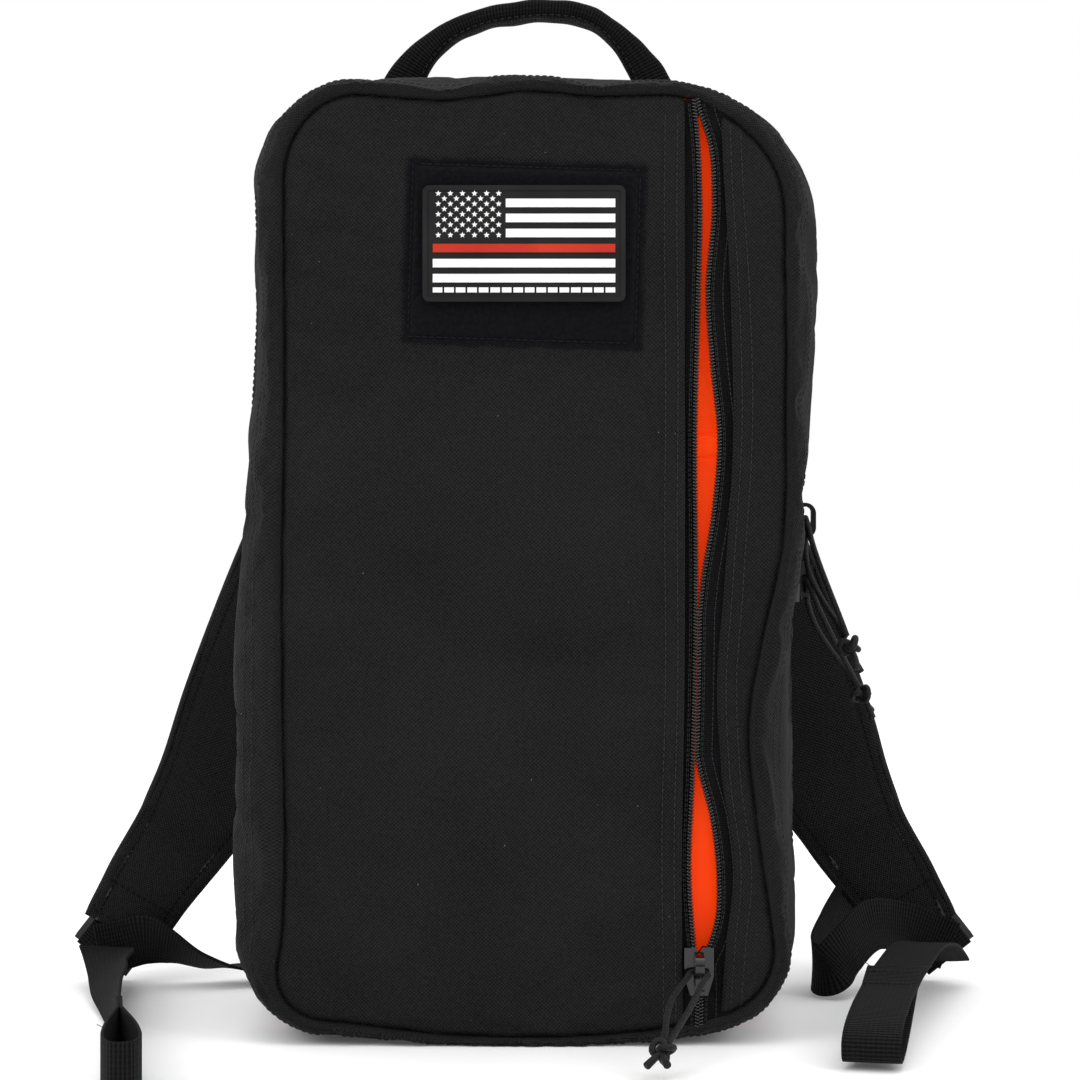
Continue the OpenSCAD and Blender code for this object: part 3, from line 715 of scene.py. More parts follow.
def zip_left(z):
    """X of the left row of coil's inner edge."""
    return curve([(8, 78), (31, 78), (45, 76.5), (73, 74.5), (120, 76), (160, 77), (200, 77.5), (267, 77),
                  (330, 78.5), (372, 79.3), (400, 78.2), (418, 76.8)], z)


def zip_open(z):
    """Width of the opening between the two rows of coil."""
    gap = curve([(8, 0), (35, 0), (44, 5), (55, 9.4), (73, 11.4), (100, 8), (120, 2), (128, 0), (190, 0),
                 (205, 1.5), (235, 6.5), (267, 9.2), (300, 5.5), (330, 2.6), (372, 4.6), (395, 4.2),
                 (418, 0)], z)
    return np.maximum(gap, 0)


def panel_fold(z):
    """X of the front panel's folded edge beside the zip."""
    return curve([(10, 71), (73, 70.4), (160, 71.6), (267, 71.8), (412, 71.8)], z)


def strip_fold(z):
    """X of the side strip's folded edge on the other side of the zip."""
    return curve([(10, 88), (45, 90), (73, 93), (120, 88), (160, 86), (200, 89), (267, 93), (330, 92),
                  (412, 88)], z)


def seam_edge():
    """The front seam as a closed curve of [x, z], settled."""
    edge = PLACE - OUT * SEAM_INSET[:, None]
    flat = settle(points_at(edge[:, 0], FRONT_Y, edge[:, 1]))
    return flat[:, [0, 2]]


SEAM = seam_edge()


def crossing(fold, low):
    """Number of the seam point nearest to a fold line, at the bottom if low is true, else at the top."""
    z = SEAM[:, 1]
    away = np.abs(SEAM[:, 0] - fold(z)) + np.where((z < 0.2) == low, 0, 1)
    return int(np.argmin(away))


def fold_line(fold, low, high):
    z = np.linspace(SEAM[low, 1], SEAM[high, 1], 200)
    return np.column_stack([fold(z), z])


def gaussian(distance, width):
    return np.exp(-(distance / width)**2)


def front_relief(grid, to_seam, to_fold):
    """Depth of the front cloth: tucked into the seam, turned under at the zip, filled out in between."""
    x, z = grid[..., 0], grid[..., 1]
    points = points_at(x, FRONT_Y, z)
    below_patch = 1 - smooth((z - 0.255) / 0.045)
    y = FRONT_Y + 0.0056 * gaussian(to_seam, 0.0022) + 0.0012 * np.exp(-to_seam / 0.006)
    y = y - 0.0042 * smooth(to_seam / 0.07) * below_patch * smooth(z / 0.12 + 0.2)
    hem = smooth((0.0105 - to_fold) / 0.002)
    y = y - 0.0007 * hem + 0.0022 * gaussian(to_fold, 0.0007)
    soft = waves_on(points, 0.11, 4) * 0.0007 * (0.25 + 0.75 * below_patch)
    pucker = waves_on(points, 0.017, 9) * 0.00038 * np.exp(-to_seam / 0.012)
    seam_pull = waves_on(points, 0.011, 12) * 0.00016 * gaussian(to_fold - 0.006, 0.008)
    inside = smooth(to_seam / 0.006)
    return y - (soft + seam_pull) * inside - pucker * inside


def crease(points, start, stop, width, height):
    """A soft fold that stands out of the front cloth along a line from start to stop, both [x, z]."""
    start, stop = mm(start), mm(stop)
    way = stop - start
    length = np.linalg.norm(way)
    way = way / length
    flat = points[..., [0, 2]] - start
    far = flat @ way / length
    off = flat @ np.array([-way[1], way[0]])
    fade = smooth(far / 0.25) * smooth((1 - far) / 0.35)
    lifted = points.copy()
    lifted[..., 1] -= height * gaussian(off, width * (0.7 + 0.5 * np.clip(far, 0, 1))) * fade
    return lifted


def front_sheet(grid, fold, seam_side):
    points = points_at(grid[..., 0], FRONT_Y, grid[..., 1])
    to_seam = distance_to(points, SEAM)
    to_fold = np.abs(grid[..., 0] - fold(grid[..., 1]))
    points[..., 1] = front_relief(grid, to_seam, to_fold)
    pinned = (to_seam < 0.004) | (to_fold < 0.012) | seam_side(points)
    return points, pinned


def beside_patch(points):
    """Where the panel stays flat behind the patch."""
    x, z = points[..., 0], points[..., 2]
    return (np.abs(x) < 0.062) & (z > 0.3) & (z < 0.4)


low, high = crossing(panel_fold, True), crossing(panel_fold, False)
panel_grid = coons(stretch(SEAM, LOWER_LEFT, low), stretch(SEAM, high, UPPER_LEFT)[::-1],
                   stretch(SEAM, UPPER_LEFT, LOWER_LEFT)[::-1], fold_line(panel_fold, low, high), 84, 150)
panel, pinned = front_sheet(panel_grid, panel_fold, beside_patch)
panel = drape(panel, pinned, pressure=1.2, slack=0.012, cap=0.0035)
for line in (((-98, 352), (-52, 292), 0.010, 0.0011), ((-100, 250), (-30, 205), 0.013, 0.0016),
             ((-100, 205), (10, 120), 0.016, 0.0013), ((64, 150), (10, 60), 0.014, 0.0010),
             ((-96, 75), (-30, 40), 0.011, 0.0010), ((-20, 408), (-34, 385), 0.006, 0.0009)):
    panel = crease(panel, *line)

low, high = crossing(strip_fold, True), crossing(strip_fold, False)
strip_grid = coons(stretch(SEAM, low, LOWER_RIGHT), stretch(SEAM, UPPER_RIGHT, high)[::-1],
                   fold_line(strip_fold, low, high), stretch(SEAM, LOWER_RIGHT, UPPER_RIGHT), 22, 150)
strip, pinned = front_sheet(strip_grid, strip_fold, lambda p: np.zeros(p.shape[:2], bool))
strip = crease(strip, (112, 60), (94, 30), 0.006, 0.0012)


def set_uv(obj, values):
    """Gives each vertex its own cloth coordinates."""
    index = np.empty(len(obj.data.loops), int)
    obj.data.loops.foreach_get("vertex_index", index)
    obj.data.uv_layers["cloth"].data.foreach_set("uv", values[index].ravel())


def front_uv(obj, points):
    """Cloth coordinates straight from the front view, so that the weave runs true."""
    set_uv(obj, points.reshape(-1, 3)[:, [0, 2]])


for name, points in (("front_panel_cloth", panel), ("side_strip_cloth", strip)):
    obj = sheet(name, points, BLACK_CLOTH)
    front_uv(obj, points)
    finish_piece(obj, "front_shell", "pack_cloth", name.replace("_cloth", ""))

# The gussets' folded edges beside the main zip run together below the zip's ends.
fold_gap = 0.0012 + 0.0088 * smooth((PLACE[:, 1] - 0.030) / 0.034)
front_fold_y, rear_fold_y = ZIP_Y - fold_gap, ZIP_Y + fold_gap
bulge = by_side(1.0, 0.0, 0.3, 0.0) * 0.0012 * smooth((PLACE[:, 1] - 0.24) / 0.05)


def wrinkled(points, seed):
    """Gusset cloth with long soft waves, and short puckers beside the seams on its two edges."""
    normals = normals_of(points, closed=True)
    across = np.linspace(0, 1, points.shape[1])[None, :]
    soft = waves_on(points, 0.085, seed) * 0.0007
    tight = waves_on(points * [1, 0.35, 1], 0.016, seed + 1) * 0.00034
    edge = gaussian(across - 0.22, 0.16) + 0.8 * gaussian(across - 0.92, 0.12)
    middle = smooth(across / 0.3) * smooth((1 - across) / 0.12)
    moved = points + normals * (soft * middle + tight * edge)[..., None]
    moved[..., 2] = np.maximum(moved[..., 2], FLOOR_GAP)
    return moved


front_band = hoop([
    (SEAM_INSET + mm(0.6), FRONT_Y + 0.0070), (SEAM_INSET - mm(0.2), FRONT_Y + 0.0026),
    (SEAM_INSET - mm(1.8), FRONT_Y - 0.0002), (SEAM_INSET * 0.72 - mm(1.0), FRONT_Y - 0.0003),
    (SEAM_INSET * 0.45, FRONT_Y + 0.0040), (mm(4.6), FRONT_Y + 0.0125),
    (mm(2.6) - bulge, FRONT_Y + 0.022), (mm(1.8) - bulge, FRONT_Y + 0.033),
    (mm(1.5), front_fold_y - 0.004), (mm(1.9), front_fold_y - 0.0007), (mm(3.0), front_fold_y),
    (mm(4.2), front_fold_y - 0.0012),
])
pins = np.zeros(front_band.shape[:2], bool)
pins[:, :10] = pins[:, -14:] = True
front_band = drape(front_band, pins, pressure=1.0, slack=0.015, cap=0.0018, closed=True)
front_band = wrinkled(front_band, 21)
obj = sheet("front_gusset_cloth", front_band, BLACK_CLOTH, closed=True)
finish_piece(obj, "front_shell", "pack_cloth", "front_gusset")

rear_band = hoop([
    (mm(4.2), rear_fold_y + 0.0012), (mm(3.0), rear_fold_y), (mm(1.9), rear_fold_y + 0.0007),
    (mm(1.4), rear_fold_y + 0.004), (mm(0.6), ZIP_Y + 0.022), (mm(0.0), ZIP_Y + 0.050),
    (mm(0.8), BACK_Y - 0.014), (mm(3.2), BACK_Y - 0.0045), (mm(6.2), BACK_Y - 0.0002),
    (mm(8.4), BACK_Y - 0.0012), (mm(9.2), BACK_Y - 0.0052),
])
pins = np.zeros(rear_band.shape[:2], bool)
pins[:, :14] = pins[:, -9:] = True
rear_band = drape(rear_band, pins, pressure=1.0, slack=0.015, cap=0.002, closed=True)
rear_band = wrinkled(rear_band, 33)
obj = sheet("rear_gusset_cloth", rear_band, BLACK_CLOTH, closed=True)
finish_piece(obj, "rear_shell", "pack_cloth", "rear_gusset")


def around(points, column):
    """One closed line around a hoop with its normals, for a row of stitches."""
    line, out = points[:, column], normals_of(points, closed=True)[:, column]
    return np.vstack([line, line[:1]]), np.vstack([out, out[:1]])


def column_near(points, distance, from_end=False):
    """Column of a hoop at about this distance along its profile from one edge."""
    far = arc_lengths(points)
    if from_end:
        far = far[-1] - far
    return int(np.argmin(np.abs(far - distance)))


finish_piece(
    stitches("front_gusset_stitching",
             [around(front_band, column_near(front_band, d, True)) for d in (0.0045, 0.0095)]
             + [around(front_band, column_near(front_band, d)) for d in (0.0165, 0.0215)], THREAD),
    "front_shell", "pack_cloth")
finish_piece(
    stitches("rear_gusset_stitching",
             [around(rear_band, column_near(rear_band, d)) for d in (0.0045, 0.0095)], THREAD),
    "rear_shell", "pack_cloth")

front_face = Landing(panel, strip)


def stitch_line(x, z):
    return front_face.drop(points_at(x, FRONT_Y, z), lift=0.00005)


tall = np.linspace(0.012, 0.413, 160)
wave = mm(0.25) * np.sin(tall / 0.021)
panel_rows = [stitch_line(panel_fold(tall) - d + wave, tall) for d in (0.0034, 0.0088)]
strip_rows = [stitch_line(strip_fold(tall) + d + wave, tall) for d in (0.0036, 0.0082)]
finish_piece(stitches("zip_stitching", panel_rows + strip_rows, THREAD), "front_shell", "pack_cloth")

# ---------- front zip: tapes, coils, and the orange pocket behind ----------

CHAIN_Y = FRONT_Y + 0.0017          # outer face of the zip's tape
zip_z = np.linspace(0.0085, 0.4175, 240)
left_edge = zip_left(zip_z)
right_edge = left_edge + zip_open(zip_z)
lift = mm(0.9) * smooth(zip_open(zip_z) / 0.009)


def tape(name, inner, outer, node):
    """Zip tape from the coil's side to under the folded cloth, as a strip of columns."""
    columns = []
    for share in np.linspace(0, 1, 9):
        x = inner + (outer - inner) * share
        sag = 0.0007 * math.sin(math.pi * share) + 0.0016 * share
        columns.append(np.column_stack([x, CHAIN_Y - lift * (1 - share) + sag, zip_z]))
    grid = np.stack(columns, axis=1)
    if outer[0] < inner[0]:
        grid = grid[:, ::-1]
    obj = sheet(name, settle_depth(grid), ZIP_TAPE, TAPE_T)
    return finish_piece(obj, "front_shell", "zip_tape", node)


def settle_depth(points):
    """Keeps a strip above the floor."""
    points = points.copy()
    points[..., 2] = np.maximum(points[..., 2], FLOOR_GAP)
    return points


tape("zip_tape_panel_side", left_edge - 0.0004, panel_fold(zip_z) - 0.005, "front_zip_tape_left")
tape("zip_tape_strip_side", right_edge + 0.0004, strip_fold(zip_z) + 0.005, "front_zip_tape_right")

outward = np.tile(FRONT_WAY, (len(zip_z), 1))
for name, x, hand, node in (
        ("zip_coil_panel_side", left_edge - 0.0009, 1, "front_zip_coil_left"),
        ("zip_coil_strip_side", right_edge + 0.0009, -1, "front_zip_coil_right")):
    path = np.column_stack([x, CHAIN_Y - lift - 0.0007, zip_z])
    finish_piece(coil(name, path, outward, COIL, hand=hand), "front_shell", "zip_coil", node)

# Rows of thread that sew the coils to their tapes.
sewn_x = [left_edge - d for d in mm([2.6, 3.4])] + [right_edge + d for d in mm([2.6, 3.4, 7.5])]
sewn = [(np.column_stack([x, CHAIN_Y - lift - 0.0001, zip_z]), outward) for x in sewn_x]
finish_piece(stitches("zip_chain_thread", sewn, THREAD, *FINE_STITCH), "front_shell", "zip_tape")


def towards_zip(points, reach):
    """Brings the pocket cloth forward behind the open zip."""
    x, z = points[..., 0], points[..., 2]
    near = gaussian(x - FRONT_ZIP_X - 0.004, 0.026) * smooth((z - 0.02) / 0.05) * smooth((0.425 - z) / 0.03)
    points = points.copy()
    points[..., 1] -= reach * near
    points[..., 1] += 0.0005 * waves_on(points, 0.05, 51)
    return points


pocket_back = towards_zip(full_face(9.0e-3, POCKET_Y, 60, 90), 0.0070)
cloth_piece("pocket_wall_cloth", pocket_back, LINING, LINING_T, "front_shell", "lining_cloth",
            "pocket_wall")


def cut_grid(x0, x1, z0, z1, y, cols, rows):
    x, z = np.meshgrid(np.linspace(x0, x1, cols), np.linspace(z0, z1, rows))
    return points_at(x, y, z)


organizer = cut_grid(-0.108, 0.108, 0.018, ORGANIZER_TOP, POCKET_Y - 0.0028, 60, 70)
organizer = settle(towards_zip(organizer, 0.0052))
cloth_piece("organizer_pocket_cloth", organizer, LINING, LINING_T, "front_shell", "lining_cloth",
            "organizer_pocket")
hem = organizer[-4:] + [0, -0.0007, 0.0004]
cloth_piece("organizer_hem", hem, LINING, 0.0009, "front_shell", "lining_cloth", "organizer_binding")
hem_rows = [facing(organizer[row] + [0, -0.0015, -0.0012], FRONT_WAY) for row in (-1, -3)]
finish_piece(stitches("organizer_stitching", hem_rows, LINING), "front_shell", "lining_cloth")

# ---------- main zip around the body ----------


def chain_depth(side):
    """Inset and depth of the main zip's tape on one side: side is -1 for the front half, 1 for the rear."""
    fold = front_fold_y if side < 0 else rear_fold_y
    return [(mm(5.2), fold + side * 0.006), (mm(4.3), fold + side * 0.001),
            (mm(3.6), ZIP_Y + side * 0.0050), (mm(3.3), ZIP_Y + side * 0.00005)]


for side, half, body in ((-1, "front", "front_shell"), (1, "rear", "rear_shell")):
    profile = chain_depth(side)
    band = zip_part(hoop(profile if side < 0 else profile[::-1]), 0.03)
    cloth_piece(f"main_zip_tape_{half}_cloth", band, ZIP_TAPE, TAPE_T, body, "zip_tape",
                f"main_zip_tape_{half}")
    row = zip_part(hoop([(mm(2.7), ZIP_Y + side * 0.0011), (mm(2.7), ZIP_Y + side * 0.0012)], 1))[:, 0]
    outs = zip_part(np.column_stack([OUT[:, 0], np.zeros(LOOP), OUT[:, 1]]))
    finish_piece(coil(f"main_coil_{half}", row, outs, COIL, hand=-side), body, "zip_coil",
                 f"main_zip_coil_{half}")
    thread = [(zip_part(hoop([(mm(3.1), ZIP_Y + side * d), (mm(3.1), ZIP_Y + side * d)], 1))[:, 0], outs)
              for d in mm([2.9, 3.9])]
    finish_piece(stitches(f"main_zip_thread_{half}", thread, THREAD, *FINE_STITCH), body, "zip_tape")

# ---------- loop field behind the patch ----------

field_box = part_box("loop_panel")
field_lean = math.radians(-1.8)
field_mid = (field_box[0] + field_box[1]) / 2
FIELD_W, FIELD_H = 0.1055, 0.0815


def field_point(u, v):
    """Place on the front of the body from coordinates on the loop field, measured from its middle."""
    c, s = math.cos(field_lean), math.sin(field_lean)
    return field_mid.x + u * c - v * s, field_mid.z + u * s + v * c


u, v = np.meshgrid(edge_dense(70) - 0.5, edge_dense(54) - 0.5)
field_x, field_z = field_point(u * FIELD_W, v * FIELD_H)
edge = np.minimum(FIELD_W / 2 - np.abs(u * FIELD_W), FIELD_H / 2 - np.abs(v * FIELD_H))
field_flat = points_at(field_x, field_z, 0)
tuft = waves_on(field_flat, 0.0042, 61)
wavy = waves_on(field_flat, 0.012, 62)
height = (0.0005 + 0.0008 * smooth((edge - 0.0035) / 0.0015) + 0.00016 * tuft * smooth(edge / 0.005)
          - 0.0005 * gaussian(edge - 0.0028, 0.0007))
field_x = field_x + 0.0004 * wavy * gaussian(edge, 0.002) * np.sign(u)
field_z = field_z + 0.0004 * wavy * gaussian(edge, 0.002) * np.sign(v)
field = points_at(field_x, FRONT_Y - 0.0003 - height, field_z)
cloth_piece("loop_field", field, PILE, 0.0012, "front_shell", "loop_pile", "loop_panel")
border = []
for corner, following in (((-1, -1), (1, -1)), ((1, -1), (1, 1)), ((1, 1), (-1, 1)), ((-1, 1), (-1, -1))):
    ends = [field_point(cx * (FIELD_W / 2 - 0.0027), cz * (FIELD_H / 2 - 0.0027))
            for cx, cz in (corner, following)]
    line = np.array([[x, FRONT_Y - 0.0009, z] for x, z in ends])
    border.append(facing(resample(line, 30), FRONT_WAY))
finish_piece(stitches("loop_field_stitching", border, FIELD_THREAD), "front_shell", "pack_cloth")

# ---------- inside the body ----------


def waved(points, amount, seed):
    """Loose cloth: moves a grid along its normals by a smooth ripple."""
    return points + normals_of(points) * (amount * waves_on(points, 0.08, seed))[..., None]


def inner_band(name, profile, material, body, slot, node, thickness=LINING_T):
    """A closed band of cloth inside the body."""
    band = waved(hoop(profile), 0.0005, 71)
    band[..., 2] = np.maximum(band[..., 2], 0.0012)
    obj = sheet(name, band, material, thickness, closed=True)
    return finish_piece(obj, body, slot, *([node] if node else []))


back_sheet_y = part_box("rear_lining")[1].y
inner_band("rear_lining_wall", [(mm(5.4), back_sheet_y - 0.001), (mm(5.2), 0.045), (mm(5.6), 0.02),
                                (mm(6.0), ZIP_Y + 0.0125)], LINING, "rear_shell", "lining_cloth", None)
rear_back = waved(full_face(5.2e-3, back_sheet_y - 0.0014), 0.0004, 72)
cloth_piece("rear_lining_back", rear_back, LINING, LINING_T, "rear_shell", "lining_cloth", "rear_lining")
inner_band("front_lining_wall", [(mm(6.0), front_fold_y - 0.0020), (mm(6.2), ZIP_Y - 0.020),
                                 (mm(7.4), POCKET_Y + 0.002)], LINING, "front_shell", "lining_cloth",
           "front_lining")
binding_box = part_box("front_seam_binding")
inner_band("front_binding_tape", [(SEAM_INSET + mm(6.5), binding_box[0].y + 0.0016),
                                  (SEAM_INSET + mm(2.5), binding_box[0].y + 0.0026)],
           BINDING, "front_shell", "binding_tape", "front_seam_binding", 0.0009)
binding_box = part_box("rear_seam_binding")
inner_band("rear_binding_tape", [(mm(9.6), binding_box[1].y - 0.0012),
                                 (mm(12.5), binding_box[1].y - 0.0022)],
           BINDING, "rear_shell", "binding_tape", "rear_seam_binding", 0.0009)

foam_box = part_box("back_foam")
obj = sheet("back_foam_pad", full_face(14e-3, foam_box[0].y + 0.0002)[:, ::-1], FOAM,
            foam_box[1].y - foam_box[0].y - 0.0004)
soften(obj, 0.0012)
finish_piece(obj, "rear_shell", "foam", "back_foam")


def pocket_sheet(name, node, material, slot, body, bow, facing=-1, seed=81):
    """A flat pocket inside, bowed a little between its sewn edges."""
    low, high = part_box(node)
    grid = cut_grid(low.x, high.x, low.z, high.z, (low.y + high.y) / 2, 60, 60)
    across = (grid[..., 0] - low.x) / (high.x - low.x)
    up = (grid[..., 2] - low.z) / (high.z - low.z)
    grid[..., 1] += facing * bow * np.sin(math.pi * across)**0.7 * smooth(up * 1.6)
    grid[..., 1] += 0.0006 * waves_on(grid, 0.06, seed) * np.sin(math.pi * across)
    if facing > 0:
        grid = grid[:, ::-1]
    cloth_piece(name, grid, material, LINING_T, body, slot, node)
    return grid


def binding_on(name, node, grid, body, facing=-1):
    """Folded binding along the top edge of a pocket sheet."""
    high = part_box(node)[1]
    out = facing * 0.0011
    top = grid[-1]
    stations = [top + [0, out, -0.0085], top + [0, out * 1.2, -0.004], top + [0, out, 0.0006],
                top + [0, 0, 0.0018], top + [0, -out, 0.0006], top + [0, -out, -0.0085]]
    stations = np.array(stations) + [0, 0, high.z - top[0, 2] - 0.0018]
    band = through(stations, 3)
    if facing > 0:
        band = band[:, ::-1]
    cloth_piece(name, band, BINDING, TAPE_T, body, "binding_tape", node)


sleeve = pocket_sheet("sleeve_cloth", "sleeve_panel", LINING, "lining_cloth", "rear_shell", 0.006)
binding_on("sleeve_edge", "sleeve_binding", sleeve, "rear_shell")
mesh_pocket = pocket_sheet("lid_pocket_mesh", "lid_mesh_pocket", POCKET_MESH, "air_mesh", "front_shell",
                           0.007, facing=1, seed=83)
binding_on("lid_pocket_edge", "lid_mesh_binding", mesh_pocket, "front_shell", facing=1)

tab_low, tab_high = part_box("sleeve_tab")
drop = np.linspace(0, 1, 30)
tab = np.stack([points_at(x, tab_low.y - 0.004 * np.sin(math.pi * drop) * (1 - drop),
                          tab_high.z + (tab_low.z - tab_high.z) * drop)
                for x in np.linspace(tab_high.x, tab_low.x, 5)], axis=1)
cloth_piece("sleeve_keeper", tab, WEBBING, WEB_T, "rear_shell", "webbing", "sleeve_tab")

hinge_low, hinge_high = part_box("hinge_strip")
strip_x, strip_y = np.meshgrid(np.linspace(hinge_low.x, hinge_high.x, 60),
                               np.linspace(hinge_low.y, hinge_high.y, 16))
hinge = points_at(strip_x, strip_y, 0.0019 + 0.0003 * np.sin(strip_x / 0.009))
obj = sheet("hinge_cloth", hinge, BLACK_CLOTH, 0.0008)
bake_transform(obj)
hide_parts("hinge_strip")

# ---------- back of the body ----------

back_face = full_face(6.6e-3, BACK_Y - 0.0034)[:, ::-1]
border = np.concatenate([back_face[0], back_face[-1], back_face[:, 0], back_face[:, -1]])[:, [0, 2]]
back_face[..., 1] += 0.0031 * smooth(distance_to(back_face, border) / 0.0042)
cloth_piece("back_panel_cloth", back_face, BLACK_CLOTH, CLOTH_T, "rear_shell", "pack_cloth", "back_panel")


def pad(name, low, high, front, seed):
    """A sewn pad on the back: crowned, with rounded corners and a flat sewn edge all round."""
    centre_x, centre_z = (low.x + high.x) / 2, (low.z + high.z) / 2
    half_w, half_h = (high.x - low.x) / 2, (high.z - low.z) / 2
    radius = 0.016
    turn = np.linspace(0, TAU, 240, endpoint=False) - math.pi * 0.75
    rim = np.column_stack([np.cos(turn), np.sin(turn)])
    square = rim / np.maximum(np.abs(rim).max(axis=1, keepdims=True), 1e-9)
    edge = square * [half_w - radius, half_h - radius]
    edge = edge + radius * unit(np.sign(square) * np.abs(square)**14)
    rings = []
    thick = high.y - low.y
    for share, up in ((1.0, 0.0), (0.985, 0.10), (0.955, 0.16), (0.93, 0.20), (0.905, 0.36), (0.86, 0.66),
                      (0.80, 0.84), (0.72, 0.92), (0.6, 0.97), (0.45, 0.99), (0.3, 1.0), (0.15, 1.0),
                      (0.0, 1.0)):
        inset = (1 - share) * half_w
        scale = np.array([share, (half_h - inset) / half_h])
        ring = edge * scale
        rings.append(points_at(centre_x + ring[:, 0], front + thick * up * 0.92, centre_z + ring[:, 1]))
    grid = np.stack(rings, axis=1)
    inner = np.linspace(0, 1, grid.shape[1])[None, :]
    grid[..., 1] += 0.0004 * waves_on(grid, 0.045, seed) * smooth(inner / 0.4) * smooth((1 - inner) / 0.4)
    obj = sheet(name, grid[:, ::-1], AIR_MESH, 0.0012, closed=True)
    front_uv(obj, grid[:, ::-1])
    line = grid[:, 2]
    return obj, facing(np.vstack([line, line[:1]]) + [0, 0.0003, 0], BACK_WAY)


pads_low, pads_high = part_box("back_mesh_pads")
channel = 0.016
sewn = []
for name, x0, x1, seed in (("back_pad_left", pads_low.x, -channel / 2, 91),
                           ("back_pad_right", channel / 2, pads_high.x, 92)):
    obj, row = pad(name, Vector((x0, pads_low.y, pads_low.z)), Vector((x1, pads_high.y, pads_high.z)),
                   BACK_Y, seed)
    sewn.append(row)
    finish_piece(obj, "rear_shell", "air_mesh", "back_mesh_pads")
finish_piece(stitches("back_pad_stitching", sewn, THREAD), "rear_shell", "pack_cloth")

# ---------- shoulder straps ----------

# Left strap: x, y, z of the middle, half width, half thickness, lean from the vertical.
STRAP = [
    (-38, 79.5, 404, 31.5, 2.0, 7), (-46, 90, 384, 32.5, 3.8, 16), (-54, 100, 362, 32.5, 4.4, 21),
    (-88, 116, 276, 32.5, 4.5, 22), (-123, 117, 192, 32.5, 4.5, 21), (-143, 112, 138, 32.5, 4.4, 22),
    (-157, 106, 101, 30.0, 4.2, 25), (-168.5, 101.5, 81, 26.6, 4.0, 28), (-174.5, 98.5, 71, 25.0, 2.2, 30),
    (-188, 90.5, 51, 22.6, 2.8, 31), (-194.5, 87.5, 40, 21.4, 2.4, 29), (-199.5, 85.6, 31, 20.8, 1.7, 26),
    (-202, 85.2, 26, 20.4, 1.2, 25),
]


def strap_rings(sign):
    """Cross-sections of a strap: middle, direction across it, direction through it, and half sizes."""
    s = through(STRAP, 7)
    middle = mm(s[:, :3]) * [sign, 1, 1]
    if sign < 0:
        # The right strap hangs a little closer to the body at its lower end.
        middle[:, 0] -= 0.0035 * smooth((0.12 - middle[:, 2]) / 0.06)
    half_w, half_t, lean = s[:, 3] * 0.001, s[:, 4] * 0.001, np.radians(s[:, 5])
    across = np.column_stack([sign * np.cos(lean), np.zeros(len(s)), -np.sin(lean)])
    ahead = unit(np.gradient(middle, axis=0))
    through_it = unit(np.cross(ahead, across))
    through_it *= np.sign(through_it[:, 1:2])
    return middle, across, through_it, half_w, half_t


def strap_pieces(side, sign):
    middle, across, through_it, half_w, half_t = strap_rings(sign)
    body = f"{side}_strap"
    turn = np.linspace(0, TAU, 48, endpoint=False)
    flat, deep = squarish(turn, 0.32, 0.72)
    grid = (middle[:, None] + across[:, None] * (half_w[:, None] * flat)[..., None]
            + through_it[:, None] * (half_t[:, None] * deep)[..., None])
    # Seams near the long edges press the padding down; the cover puckers a little beside them.
    groove = gaussian(np.abs(flat)[None, :] * half_w[:, None] - (half_w[:, None] - 0.0062), 0.0013)
    out = normals_of(grid)
    out *= np.sign(((grid - middle[:, None]) * out).sum(axis=2, keepdims=True))
    tight = waves_on(grid, 0.013, 101 + sign) * gaussian(np.abs(flat)[None, :] - 0.85, 0.12)
    soft = waves_on(grid, 0.06, 105 + sign)
    grid = grid + out * (-0.0005 * groove + 0.00022 * tight + 0.0004 * soft)[..., None]
    front = np.concatenate([np.flatnonzero(turn >= math.pi), [0]])
    rear = np.flatnonzero(turn <= math.pi)
    for name, columns, material, slot, node in (
            (f"strap_cover_{side}_cloth", front, STRAP_CLOTH, "pack_cloth", f"strap_cover_{side}"),
            (f"strap_lining_{side}_mesh", rear, AIR_MESH, "air_mesh", f"strap_mesh_{side}")):
        half = grid[:, columns]
        if (normals_of(half)[40, len(columns) // 2, 1] > 0) != (node.startswith("strap_mesh")):
            half = half[:, ::-1]
        cloth_piece(name, half, material, 0.0012, body, slot, node)
    core = middle[:, None] + (grid - middle[:, None]) * 0.86
    foam = new_object(f"strap_foam_{side}_core", core.reshape(-1, 3), capped_faces(*core.shape[:2]), FOAM)
    finish_piece(foam, body, "foam", f"strap_foam_{side}")
    # Binding around both long edges, and its stitching.
    for edge, label in ((-1, "outer"), (1, "inner")):
        wrap = []
        for angle in np.linspace(-1.45, 1.45, 9):
            reach = half_w - 0.0030 + 0.0036 * math.cos(angle)
            rise = (half_t * 0.62 + 0.0005) * math.sin(angle) / math.sin(1.45)
            wrap.append(middle + across * (edge * reach)[:, None] + through_it * rise[:, None])
        wrap = np.stack(wrap, axis=1)[8:]
        if (normals_of(wrap)[40, 4] * across[40]).sum() * edge < 0:
            wrap = wrap[:, ::-1]
        cloth_piece(f"strap_{label}_edge_{side}", wrap, STRAP_CLOTH, 0.0008, body, "pack_cloth")
    lines = []
    for edge in (-1, 1):
        for face in (-1, 1):
            line = (middle + across * (edge * (half_w - 0.0062))[:, None]
                    + through_it * (face * (half_t * 0.93 + 0.0001))[:, None])[8:-2]
            lines.append((line, through_it[8:-2] * face))
    for along_share in (0.80, 0.93):
        k = int(len(middle) * along_share)
        cross = np.linspace(-0.86, 0.86, 30)[:, None]
        for face in (-1, 1):
            line = (middle[k] + across[k] * half_w[k] * cross
                    + through_it[k] * face * (half_t[k] * (1 - 0.12 * np.abs(cross)) + 0.0001))
            lines.append(facing(line, through_it[k] * face))
    finish_piece(stitches(f"strap_stitching_{side}", lines, DARK_THREAD), body, "pack_cloth")


